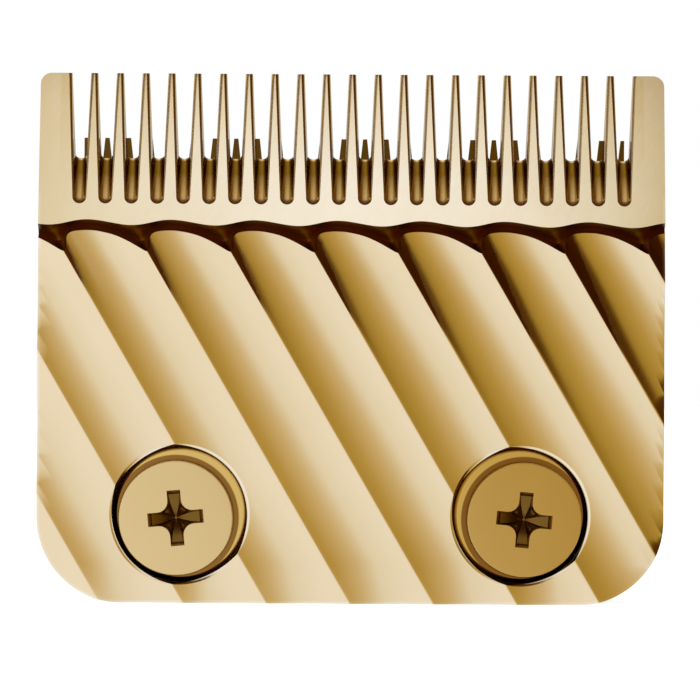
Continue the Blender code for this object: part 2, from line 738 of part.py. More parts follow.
def cutter_slots():
    """Return the solids that cut the slots between the cutter's teeth."""
    root = CUTTER_SLOT_ROOT + CUTTER_SLOT_ROOT_HALF
    top = CUTTER_TIP + 1 * MM
    widening = (CUTTER_SLOT_TIP_HALF - CUTTER_SLOT_ROOT_HALF) / (CUTTER_TIP - root)
    top_half = CUTTER_SLOT_ROOT_HALF + widening * (top - root)
    slots = []
    for i in range(CUTTER_SLOT_COUNT):
        x = CUTTER_OFFSET + (i - (CUTTER_SLOT_COUNT - 1) / 2) * CUTTER_TOOTH_PITCH
        outline = arc(x, root, CUTTER_SLOT_ROOT_HALF, 180, 360, 4)
        outline += [(x + top_half, top), (x - top_half, top)]
        slots.append(slab(outline, CUTTER_FRONT - 1 * MM, CUTTER_REAR + 1 * MM))
    return merged(slots)


def cutter_blade(carrier):
    """Cutter with 26 teeth, hollow ground on its front and bevelled behind its teeth."""
    profile = [
        (CUTTER_FRONT, CUTTER_LOW),
        (CUTTER_FRONT, CUTTER_RELIEF_LOW),
        (CUTTER_FRONT + CUTTER_RELIEF_DEPTH, CUTTER_RELIEF_LOW + 0.4 * MM),
        (CUTTER_FRONT + CUTTER_RELIEF_DEPTH, CUTTER_RELIEF_HIGH - 0.4 * MM),
        (CUTTER_FRONT, CUTTER_RELIEF_HIGH),
        (CUTTER_FRONT, CUTTER_TIP),
        (CUTTER_FRONT + CUTTER_TIP_THICKNESS, CUTTER_TIP),
        (CUTTER_REAR, CUTTER_BEVEL_LOW),
        (CUTTER_REAR, CUTTER_LOW),
    ]
    half = CUTTER_WIDTH / 2
    plate = side_slab(profile, CUTTER_OFFSET - half, CUTTER_OFFSET + half)
    cutter = new_object("cutter_blade", plate, CUTTER_STEEL, parent=carrier)
    cut(cutter, cutter_slots())
    bore = GUIDE_SCREW_RADIUS + CLEARANCE
    holes = [
        along_y(bore, bore, CUTTER_FRONT - 1 * MM, CUTTER_REAR + 1 * MM, x, GUIDE_SCREW_Z, 16)
        for x in guide_screw_places()
    ]
    return cut(cutter, merged(holes))


def guide_screw_places():
    """Return the X of the two guide screws, which sit on the cutter."""
    return [CUTTER_OFFSET + side * GUIDE_SCREW_X for _, side in SIDES]


def cutter_guide(carrier):
    """Moulded guide: a plate, a lip that the spring arms bear under, and the drive boss."""
    x = CUTTER_OFFSET
    plate = box(
        (x - GUIDE_HALF_WIDTH, GUIDE_FRONT, GUIDE_LOW),
        (x + GUIDE_HALF_WIDTH, GUIDE_REAR, GUIDE_PLATE_HIGH),
    )
    guide = new_object("cutter_guide", plate, GUIDE_PLASTIC, parent=carrier)
    overlap = 0.3 * MM
    lip = box(
        (x - GUIDE_HALF_WIDTH, GUIDE_REAR - overlap, RAIL_LIP_Z),
        (x + GUIDE_HALF_WIDTH, GUIDE_REAR + RAIL_LIP_HEIGHT, GUIDE_PLATE_HIGH),
    )
    join(guide, lip)
    boss = rounded_outline(DRIVE_BOSS_HALF, GUIDE_LOW, GUIDE_HIGH, 0.8 * MM, 0.8 * MM)
    boss = [(x + px, pz) for px, pz in boss]
    join(guide, slab(boss, GUIDE_FRONT, DRIVE_BOSS_REAR))
    slot = box(
        (x - DRIVE_SLOT_HALF, DRIVE_SLOT_FLOOR, DRIVE_SLOT_LOW),
        (x + DRIVE_SLOT_HALF, DRIVE_BOSS_REAR + 1 * MM, DRIVE_SLOT_HIGH),
    )
    cut(guide, slot)
    bore = GUIDE_SCREW_RADIUS + CLEARANCE
    holes = [
        along_y(bore, bore, GUIDE_FRONT - 1 * MM, GUIDE_REAR + 1 * MM, place, GUIDE_SCREW_Z, 16)
        for place in guide_screw_places()
    ]
    return cut(guide, merged(holes))


def guide_screw(label, x, carrier):
    """Small pan-head screw from the guide into the cutter."""
    under = GUIDE_REAR + CLEARANCE
    head = under + 0.9 * MM
    tip = CUTTER_FRONT + 0.35 * MM
    profile = [
        (0, tip),
        (GUIDE_SCREW_RADIUS, tip),
        (GUIDE_SCREW_RADIUS, under),
        (GUIDE_SCREW_HEAD, under),
        (GUIDE_SCREW_HEAD, under + 0.5 * MM),
        (GUIDE_SCREW_HEAD - 0.45 * MM, head),
        (0, head),
    ]
    place = (x, 0, GUIDE_SCREW_Z)
    return new_object(f"guide_screw_{label}", turned(profile, 20), PIN_STEEL, place, carrier)


def axis_empty(name, location, parent=None):
    """Return an empty on a joint's axis, for the pieces that the joint moves."""
    empty = bpy.data.objects.new(name, None)
    bpy.context.collection.objects.link(empty)
    empty.location = location
    empty.parent = parent
    return empty


def main():
    """Build the head: what is fixed, what the taper slide carries, and the cutter."""
    clear_scene()
    fixed_blade()
    carrier_frame()
    rear_cover()
    friction_leaf()
    slide_axis = axis_empty("taper_slide_axis", (0, 0, 0))
    cutter_axis = axis_empty("cutter_axis", (0, 0, 0), slide_axis)
    taper_slide(slide_axis)
    slide_drive_pin(slide_axis)
    for label, side in SIDES:
        blade_screw(label, side)
        threaded_insert(label, side)
        slide_rail(label, side)
        cover_screw(label, side)
        spring_pin(label, side, slide_axis)
        tension_spring(label, side, slide_axis)
    cutter_blade(cutter_axis)
    cutter_guide(cutter_axis)
    for (label, _), x in zip(SIDES, guide_screw_places()):
        guide_screw(label, x, cutter_axis)


main()
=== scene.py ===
"""Looks of the clipper blade head: its fluted gold blade, its mechanism and the studio.

Lengths are metres, and MM turns millimetres into them. +X is to the right, +Z is towards
the tooth tips, and the skin face of the blade looks along -Y.
"""

import logging
import math
from dataclasses import dataclass
from enum import Enum
from typing import Any, Callable, Iterable, Sequence

import bmesh
import bpy
from mathutils import Matrix, Vector


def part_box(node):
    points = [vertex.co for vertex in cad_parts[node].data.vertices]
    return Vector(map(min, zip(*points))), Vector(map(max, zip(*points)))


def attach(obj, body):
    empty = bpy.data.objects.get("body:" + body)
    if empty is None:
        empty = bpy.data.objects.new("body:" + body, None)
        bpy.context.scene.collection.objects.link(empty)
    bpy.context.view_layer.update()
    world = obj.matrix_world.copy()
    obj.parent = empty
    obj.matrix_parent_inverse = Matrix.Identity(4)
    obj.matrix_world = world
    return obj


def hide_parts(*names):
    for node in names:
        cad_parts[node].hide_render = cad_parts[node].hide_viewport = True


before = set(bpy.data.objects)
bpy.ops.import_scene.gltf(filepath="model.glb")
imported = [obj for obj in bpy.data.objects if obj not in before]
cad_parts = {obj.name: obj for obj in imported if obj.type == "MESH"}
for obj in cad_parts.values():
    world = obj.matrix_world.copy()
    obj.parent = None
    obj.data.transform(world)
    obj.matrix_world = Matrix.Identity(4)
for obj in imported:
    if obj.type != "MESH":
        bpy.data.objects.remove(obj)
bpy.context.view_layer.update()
LOG = logging.getLogger("blade_head")
MM = 0.001
SIDES = (("left", -1.0), ("right", 1.0))
Point = tuple[float, float]
Object = bpy.types.Object


class Body(Enum):
    """The rigid bodies that pieces ride on."""

    HEAD = "head"
    SLIDE = "slide"
    CUTTER = "cutter"


class Signal:
    """A shader socket that Python's arithmetic works on."""

    def __init__(self, desk: "Desk", socket: bpy.types.NodeSocket) -> None:
        """Wrap one output socket of a node on the desk."""
        self.desk = desk
        self.socket = socket

    def _maths(self, operation: str, first: Any, second: Any) -> "Signal":
        """Add a Math node and return its result."""
        node = self.desk.node("ShaderNodeMath", {"operation": operation}, {0: first, 1: second})
        return self.desk.out(node, 0)

    def __add__(self, other: Any) -> "Signal":
        """Return self + other."""
        return self._maths("ADD", self, other)

    __radd__ = __add__

    def __mul__(self, other: Any) -> "Signal":
        """Return self * other."""
        return self._maths("MULTIPLY", self, other)

    __rmul__ = __mul__

    def __sub__(self, other: Any) -> "Signal":
        """Return self - other."""
        return self._maths("SUBTRACT", self, other)

    def __rsub__(self, other: Any) -> "Signal":
        """Return other - self."""
        return self._maths("SUBTRACT", other, self)

    def __pow__(self, other: Any) -> "Signal":
        """Return self ** other."""
        return self._maths("POWER", self, other)

    def clamped(self) -> "Signal":
        """Return the value kept between 0 and 1."""
        node = self.desk.node("ShaderNodeClamp", {}, {"Value": self})
        return self.desk.out(node, 0)


class Desk:
    """The node tree of one material or world, and the ways to add nodes to it."""

    def __init__(self, tree: bpy.types.NodeTree) -> None:
        """Work on this node tree."""
        self.tree = tree

    def node(self, kind: str, settings: dict[str, Any], values: dict[Any, Any]) -> bpy.types.Node:
        """Add a node.

        Args:
            kind: The node's type name.
            settings: Properties that are set first; "stops" sets a ramp's colours.
            values: Values or signals for its input sockets, by name or number.

        Returns:
            The new node.
        """
        made = self.tree.nodes.new(kind)
        for key, value in settings.items():
            if key == "stops":
                self._ramp(made.color_ramp, value)
            else:
                setattr(made, key, value)
        for key, value in values.items():
            if isinstance(value, Signal):
                self.tree.links.new(value.socket, made.inputs[key])
            else:
                made.inputs[key].default_value = value
        return made

    def _ramp(self, ramp: bpy.types.ColorRamp, stops: Sequence[tuple[float, Any]]) -> None:
        """Set a colour ramp's stops.

        Args:
            ramp: The ramp.
            stops: Places with their colours.
        """
        while len(ramp.elements) > 1:
            ramp.elements.remove(ramp.elements[-1])
        ramp.elements[0].position = stops[0][0]
        ramp.elements[0].color = (*stops[0][1], 1.0)
        for place, colour in stops[1:]:
            ramp.elements.new(place).color = (*colour, 1.0)

    def out(self, node: bpy.types.Node, key: Any) -> Signal:
        """Return one of a node's outputs as a signal."""
        return Signal(self, node.outputs[key])

    def place(self) -> Signal:
        """Return the piece's own Object coordinates."""
        return self.out(self.node("ShaderNodeTexCoord", {}, {}), "Object")

    def mapped(
        self, scale: Sequence[float], turn: Sequence[float] = (0, 0, 0), at: Sequence[float] = (0, 0, 0)
    ) -> Signal:
        """Return Object coordinates turned about a point and scaled.

        Args:
            scale: Scale along each turned axis.
            turn: Rotation in radians.
            at: The point that becomes the pattern's origin.

        Returns:
            Object coordinates turned about a point and scaled.
        """
        centred = self.node(
            "ShaderNodeVectorMath", {"operation": "SUBTRACT"}, {0: self.place(), 1: tuple(at)}
        )
        turned = self.node(
            "ShaderNodeVectorRotate",
            {"rotation_type": "EULER_XYZ"},
            {"Vector": self.out(centred, 0), "Rotation": tuple(turn)},
        )
        scaled = self.node(
            "ShaderNodeVectorMath", {"operation": "MULTIPLY"}, {0: self.out(turned, 0), 1: tuple(scale)}
        )
        return self.out(scaled, 0)

    def noise(self, vector: Signal, scale: float, detail: float = 2.0) -> Signal:
        """Return a noise pattern between 0 and 1."""
        values = {"Vector": vector, "Scale": scale, "Detail": detail}
        return self.out(self.node("ShaderNodeTexNoise", {}, values), "Fac")

    def blend(self, amount: Any, first: Sequence[float], second: Sequence[float]) -> Signal:
        """Return a colour between two colours.

        Args:
            amount: 0 for the first colour, 1 for the second.
            first: The first colour.
            second: The second colour.

        Returns:
            A colour between two colours.
        """
        values = {0: amount, 6: (*first, 1.0), 7: (*second, 1.0)}
        mix = self.node("ShaderNodeMix", {"data_type": "RGBA"}, values)
        return self.out(mix, 2)

    def bump(self, height: Signal, distance: float, strength: float = 1.0) -> Signal:
        """Return a normal bent by a height pattern, its depth in metres."""
        values = {"Height": height, "Distance": distance, "Strength": strength}
        return self.out(self.node("ShaderNodeBump", {}, values), "Normal")


@dataclass(frozen=True)
class Finish:
    """A surface finish: its colours, gloss and the fine pattern that its making left."""

    name: str
    slot: str
    colour: tuple[float, float, float]
    shade: tuple[float, float, float]
    roughness: float
    metallic: float = 1.0
    coat: float = 0.0
    grain: float = 900.0
    stretch: tuple[float, float, float] = (1.0, 1.0, 1.0)
    turn: tuple[float, float, float] = (0.0, 0.0, 0.0)
    depth: float = 0.003 * MM
    gloss_spread: float = 0.10

    def material(self) -> bpy.types.Material:
        """Return the finish as a material, built once.

        Returns:
            The finish as a material, built once.
        """
        found = bpy.data.materials.get(self.name)
        if found:
            return found
        made = bpy.data.materials.new(self.name)
        made.use_nodes = True
        desk = Desk(made.node_tree)
        shader = made.node_tree.nodes["Principled BSDF"]
        shader.inputs["Metallic"].default_value = self.metallic
        shader.inputs["Coat Weight"].default_value = self.coat
        shader.inputs["Coat Roughness"].default_value = 0.08
        self.dress(desk, shader)
        return made

    def dress(self, desk: Desk, shader: bpy.types.Node) -> None:
        """Link colour, roughness and bump patterns to the shader.

        Args:
            desk: The desk of the material.
            shader: The material's shader node.
        """
        streaks = desk.noise(desk.mapped(self.stretch, self.turn), self.grain, 3.0)
        clouds = desk.noise(desk.place(), 90.0, 2.0)
        colour = desk.blend(clouds, self.colour, self.shade)
        rough = (self.roughness - self.gloss_spread / 2) + streaks * self.gloss_spread
        desk.tree.links.new(colour.socket, shader.inputs["Base Color"])
        desk.tree.links.new(rough.socket, shader.inputs["Roughness"])
        normal = desk.bump(streaks, self.depth)
        desk.tree.links.new(normal.socket, shader.inputs["Normal"])

    def on(self, piece: Object) -> Object:
        """Give a piece this finish.

        Args:
            piece: The piece.

        Returns:
            The piece.
        """
        piece.data.materials.clear()
        piece.data.materials.append(self.material())
        return piece


@dataclass(frozen=True)
class TurnedFinish(Finish):
    """A lathe-turned face: fine rings round an axis along Y."""

    centre: tuple[float, float, float] = (0.0, 0.0, 0.0)
    facing: float = 1.0
    # Painted shade: the dark brown of everything deeper than the head's face, inside the cross recess.
    hollow: tuple[float, float, float] = (0.20, 0.105, 0.02)

    def dress(self, desk: Desk, shader: bpy.types.Node) -> None:
        """Link the rings, a soft colour change and painted shade deeper than the head's face to the shader.

        Args:
            desk: The desk of the material.
            shader: The material's shader node.
        """
        centred = desk.mapped((1.0, 0.0, 1.0), at=self.centre)
        length = desk.node("ShaderNodeVectorMath", {"operation": "LENGTH"}, {0: centred})
        radius = desk.out(length, "Value")
        rings = desk.out(
            desk.node("ShaderNodeTexNoise", {"noise_dimensions": "1D"}, {"W": radius, "Scale": 9000.0}),
            "Fac"
        )
        clouds = desk.noise(desk.place(), 160.0, 2.0)
        split = desk.node("ShaderNodeSeparateXYZ", {}, {"Vector": desk.place()})
        # Painted shade grows with depth behind the head's face.
        under = (desk.out(split, "Y") - self.centre[1]) * (self.facing / (0.35 * MM)) - 0.25
        face = desk.blend(clouds, self.colour, self.shade)
        mix = desk.node(
            "ShaderNodeMix", {"data_type": "RGBA"},
            {0: under.clamped(), 6: face, 7: (*self.hollow, 1.0)}
        )
        colour = desk.out(mix, 2)
        rough = (self.roughness - self.gloss_spread / 2) + rings * self.gloss_spread
        desk.tree.links.new(colour.socket, shader.inputs["Base Color"])
        desk.tree.links.new(rough.socket, shader.inputs["Roughness"])
        normal = desk.bump(rings, self.depth)
        desk.tree.links.new(normal.socket, shader.inputs["Normal"])


@dataclass(frozen=True)
class FluteLayout:
    """Where the diagonal flutes run on the blade, and where they end under the ground strip."""

    turn: float = math.radians(30.2)
    slant: float = 0.5824
    pitch: float = 6.128 * MM
    phase: float = 6.14 * MM
    depth_low: float = 0.42 * MM
    depth_high: float = 0.71 * MM
    deep_end: float = 25.5 * MM
    ridge_round: float = 0.05 * MM
    ends: tuple[float, ...] = (
        25.75, 26.05, 26.75, 27.08, 27.21, 27.27, 27.30, 27.30, 27.28, 27.22, 27.13, 27.02, 26.85,
        26.62, 26.34, 26.0
    )

    def end(self, t: float) -> float:
        """Return the height at which a flute ends, t of the way across it, by a smooth curve.

        Args:
            t: How far across a flute, 0 to 1.

        Returns:
            The height at which a flute ends.
        """
        count = len(self.ends)
        place = (t % 1.0) * count
        i = int(place)
        share = place - i
        a, b, c, d = (self.ends[(i + step) % count] for step in (-1, 0, 1, 2))
        curve = b + 0.5 * share * (
            c - a + share * (2 * a - 5 * b + 4 * c - d + share * (3 * (b - c) + d - a))
        )
        return curve * MM


FLUTES = FluteLayout()


@dataclass(frozen=True)
class FlutedFinish(Finish):
    """Ground gold with painted shade in the cove, on the teeth, in the slots and in the recesses, and
    painted highlights on the broken edges.
    """

    # Painted shade: the dark brown laid over the cove, the wedges beside the upper ridges and the ring
    # round each screw head.
    tint: tuple[float, float, float] = (0.22, 0.075, 0.004)
    # Painted shade: the darker gold of the screw recesses' walls.
    recess_wall_shade: tuple[float, float, float] = (0.78, 0.56, 0.18)
    # Painted shade on the teeth: darker flanks, darker tips and dark brown deep in the slots.
    flank: tuple[float, float, float] = (0.76, 0.55, 0.23)
    tip_shade: tuple[float, float, float] = (0.80, 0.58, 0.24)
    slot_shade: tuple[float, float, float] = (0.27, 0.15, 0.015)
    # Painted highlight: the pale colour of the outline's broken edge and the recess lips.
    edge: tuple[float, float, float] = (0.97, 0.90, 0.74)
    recess_at: Point = (12.5 * MM, 6.5 * MM)
    head_at: Point = (12.8 * MM, 6.2 * MM)
    slot_zone: Point = (28.9 * MM, 29.2 * MM)
    back_zone: Point = (-3.05 * MM, -3.15 * MM)
    side_zone: Point = (21.6 * MM, 21.4 * MM)
    tip_zone: Point = (31.0 * MM, 38.5 * MM)
    flank_zone: Point = (0.0, 0.20 * MM)
    deep_zone: Point = (0.30 * MM, 1.2 * MM)
    sunk_zone: Point = (-5.50 * MM, -5.40 * MM)
    rim_zone: Point = (5.06 * MM, 5.01 * MM)
    # Where the painted shade round each screw head starts.
    gap_shade_zone: Point = (4.66 * MM, 4.58 * MM)
    lip_zone: Point = (5.0 * MM, 5.16 * MM)
    lip_height: float = 0.08
    corner_radius: float = 6.2 * MM
    corner_start: float = 16.8 * MM
    edge_width: float = 0.24 * MM
    wedge_rise: float = math.tan(math.radians(13.0))
    wedge_base: float = (3.35 + 38.95 * math.tan(math.radians(13.0))) * MM

    @staticmethod
    def amount(value: Signal, start: float, end: float) -> Signal:
        """Return how far a value has gone from start to end, kept between 0 and 1."""
        return ((value - start) * (1.0 / (end - start))).clamped()

    @staticmethod
    def distance(across: Signal, up: Signal) -> Signal:
        """Return the length of a plane offset."""
        return (across * across + up * up) ** 0.5

    @staticmethod
    def mixed(desk: Desk, mask: Signal, under: Signal, tint: tuple[float, float, float]) -> Signal:
        """Return a colour signal with a tint laid over it where the mask is 1."""
        mix = desk.node("ShaderNodeMix", {"data_type": "RGBA"}, {0: mask, 6: under, 7: (*tint, 1.0)})
        return desk.out(mix, 2)

    def cove_shade_mask(self, desk: Desk, x: Signal, y: Signal, z: Signal) -> Signal:
        """Return 1 where shade is painted: in the cove at the flutes' ends and in a dark wedge beside each
        upper ridge.

        Args:
            desk: The desk of the material.
            x: X on the piece.
            y: Y on the piece.
            z: Height.

        Returns:
            1 where shade is painted: in the cove at the flutes' ends and in a dark wedge beside each upper
                                      ridge.
        """
        along = (x + z * FLUTES.slant - FLUTES.phase) * (1.0 / FLUTES.pitch)
        t = desk.out(desk.node("ShaderNodeMath", {"operation": "FRACT"}, {0: along}), 0)
        low = 24.0
        stops = [(i / 32, ((FLUTES.end(i / 32) / MM - low) / 5,) * 3) for i in range(32)]
        ramp = desk.node("ShaderNodeValToRGB", {"stops": stops}, {"Fac": t})
        end = desk.out(ramp, "Color") * (5.0 * MM) + low * MM
        wave = desk.out(desk.node("ShaderNodeMath", {"operation": "COSINE"}, {0: t * math.tau}), 0)
        edge = wave * (-0.20 * MM) + 27.88 * MM
        ragged = (desk.noise(desk.place(), 1800.0, 3.0) - 0.5) * (0.06 * MM)
        above = ((z - end + ragged) * (1.0 / (0.05 * MM)) + 0.5).clamped()
        below = ((edge - z) * (1.0 / (0.03 * MM)) + 0.2).clamped()
        front = self.amount(y, -3.4 * MM, -3.5 * MM)
        # Painted shade: a dark wedge beside each ridge, widening upwards from where the groove starts.
        groove_end = 20.0 * MM - x * 0.12
        width = (z - groove_end) * (0.145 / (25.5 * MM - 20.0 * MM))
        fade = ((z - groove_end) * (1.0 / (1.5 * MM))).clamped()
        ridge_shade = ((width - t) * 22.0 + ragged * (0.4 / (0.03 * MM)) + 0.4).clamped() * fade
        return (above + ridge_shade).clamped() * below * front

    def dress(self, desk: Desk, shader: bpy.types.Node) -> None:
        """Link the ground grain, the painted shade and the painted highlights on the broken edges to the
        shader.

        Args:
            desk: The desk of the material.
            shader: The material's shader node.
        """
        split = desk.node("ShaderNodeSeparateXYZ", {}, {"Vector": desk.place()})
        x, y, z = (desk.out(split, axis) for axis in ("X", "Y", "Z"))
        side = desk.out(desk.node("ShaderNodeMath", {"operation": "ABSOLUTE"}, {0: x}), 0)
        # Where the cove and the ridge wedges get painted shade.
        cove = self.cove_shade_mask(desk, x, y, z)
        grain = desk.noise(desk.mapped(self.stretch, self.turn), self.grain, 3.0)
        clouds = desk.noise(desk.place(), 140.0, 3.0)
        colour = desk.blend(clouds, self.colour, self.shade)

        under = y - z * self.wedge_rise + self.wedge_base
        toothed = self.amount(z, *self.slot_zone) * self.amount(y, *self.back_zone)
        toothed = toothed * self.amount(side, *self.side_zone)
        # Painted shade on the teeth: darker towards the tips, on the rounded flanks, and dark brown deep in
        # the slots.
        colour = self.mixed(desk, self.amount(z, *self.tip_zone) * toothed * 0.5, colour, self.tip_shade)
        colour = self.mixed(desk, self.amount(under, *self.flank_zone) * toothed, colour, self.flank)
        colour = self.mixed(desk, self.amount(under, *self.deep_zone) * toothed, colour, self.slot_shade)

        rim = self.distance(side - self.recess_at[0], z - self.recess_at[1])
        head = self.distance(side - self.head_at[0], z - self.head_at[1])
        sunk = self.amount(y, *self.sunk_zone) * self.amount(rim, *self.rim_zone)
        # Painted shade: the recess walls darker than the skin around them.
        colour = self.mixed(desk, sunk, colour, self.recess_wall_shade)
        # Painted shade: a dark ring round each screw head in its recess.
        gap_shade = self.amount(head, *self.gap_shade_zone)
        colour = self.mixed(desk, sunk * gap_shade * 0.85, colour, self.tint)
        # Painted shade: dark brown over the cove and the ridge wedges.
        colour = self.mixed(desk, cove, colour, self.tint)

        past_x = desk.node(
            "ShaderNodeMath", {"operation": "MAXIMUM"}, {0: side - self.corner_start, 1: 0.0}
        )
        past_z = desk.node("ShaderNodeMath", {"operation": "MAXIMUM"}, {0: self.corner_radius - z, 1: 0.0})
        inset = self.corner_radius - self.distance(desk.out(past_x, 0), desk.out(past_z, 0))
        outline = self.amount(inset, 0.0, self.edge_width)
        lip = self.amount(rim, *self.lip_zone)
        # Painted highlight: the outline's broken edge and the recess lips are painted paler; the lip's bump
        # below is shape.
        edge_highlight = (2.0 - outline - lip).clamped() * (1.0 - self.amount(y, *self.sunk_zone))
        colour = self.mixed(desk, edge_highlight * 0.7, colour, self.edge)

        rough = grain * self.gloss_spread + clouds * 0.05 + (self.roughness - self.gloss_spread / 2 - 0.025)
        rough = rough + cove * 0.2
        height = grain * (self.depth / MM) + lip * self.lip_height
        desk.tree.links.new(colour.socket, shader.inputs["Base Color"])
        desk.tree.links.new(rough.socket, shader.inputs["Roughness"])
        desk.tree.links.new(desk.bump(height, 1.0 * MM).socket, shader.inputs["Normal"])


BLACK = (0.0, 0.0, 0.0)
WHITE = (1.0, 1.0, 1.0)
GOLD = (0.91, 0.75, 0.48)
GOLD_SHADE = (0.87, 0.70, 0.42)
BLADE_GOLD = FlutedFinish(
    "blade_titanium_gold", "titanium_gold", GOLD, GOLD_SHADE, 0.17, grain=700.0,
    stretch=(6.0, 6.0, 0.25), turn=(0.0, -FLUTES.turn, 0.0), depth=0.0008 * MM, gloss_spread=0.05,
)
# One gold for both screws, painted light: the left one lit paler, the right one shaded darker.
SCREW_GOLD_LIT = TurnedFinish(
    "screw_gold_lit", "screw_gold", (0.84, 0.66, 0.34), (0.80, 0.60, 0.28), 0.26,
    depth=0.0002 * MM, gloss_spread=0.05, centre=(-12.8 * MM, -5.5 * MM, 6.2 * MM),
)
SCREW_GOLD_SHADED = TurnedFinish(
    "screw_gold_shaded", "screw_gold", (0.72, 0.50, 0.17), (0.66, 0.44, 0.13), 0.26,
    depth=0.0002 * MM, gloss_spread=0.05, centre=(12.8 * MM, -5.5 * MM, 6.2 * MM),
)
# Painted shade: the cutter's gold darkened to dark brown, as it lies shaded behind the blade's teeth.
CUTTER_GOLD_SHADED = Finish(
    "cutter_gold_shaded", "cutter_steel", (0.17, 0.095, 0.014), (0.13, 0.07, 0.010), 0.26,
    grain=500.0, stretch=(0.15, 6.0, 6.0), depth=0.002 * MM,
)
FRAME_BLACK = Finish(
    "frame_textured_black", "frame_black", (0.022, 0.022, 0.024), (0.034, 0.034, 0.036), 0.55,
    metallic=0.0, grain=4500.0, depth=0.02 * MM, gloss_spread=0.18,
)
GUIDE_BLACK = Finish(
    "guide_smooth_black", "guide_plastic", (0.030, 0.030, 0.033), (0.045, 0.045, 0.048), 0.34,
    metallic=0.0, grain=1500.0, depth=0.006 * MM, gloss_spread=0.12,
)
SLIDE_CAST = Finish(
    "slide_satin_cast", "cast_slide", (0.46, 0.46, 0.47), (0.38, 0.38, 0.39), 0.40,
    grain=2500.0, depth=0.008 * MM, gloss_spread=0.16,
)
COVER_BRUSHED = Finish(
    "cover_brushed_plate", "cover_steel", (0.56, 0.56, 0.58), (0.48, 0.48, 0.50), 0.30,
    grain=600.0, stretch=(0.12, 6.0, 6.0), depth=0.003 * MM, gloss_spread=0.18,
)
WIRE_BRIGHT = Finish(
    "spring_drawn_wire", "spring_steel", (0.62, 0.62, 0.64), (0.52, 0.52, 0.55), 0.22,
    grain=1800.0, depth=0.002 * MM, gloss_spread=0.14,
)
PIN_BRIGHT = Finish(
    "pin_turned_steel", "pin_steel", (0.66, 0.66, 0.68), (0.58, 0.58, 0.60), 0.24,
    grain=1500.0, stretch=(4.0, 1.0, 1.0), depth=0.002 * MM, gloss_spread=0.12,
)
INSERT_BRASS = Finish(
    "insert_turned_brass", "insert_brass", (0.72, 0.54, 0.24), (0.62, 0.45, 0.18), 0.32,
    grain=1500.0, stretch=(1.0, 4.0, 1.0), depth=0.003 * MM,
)


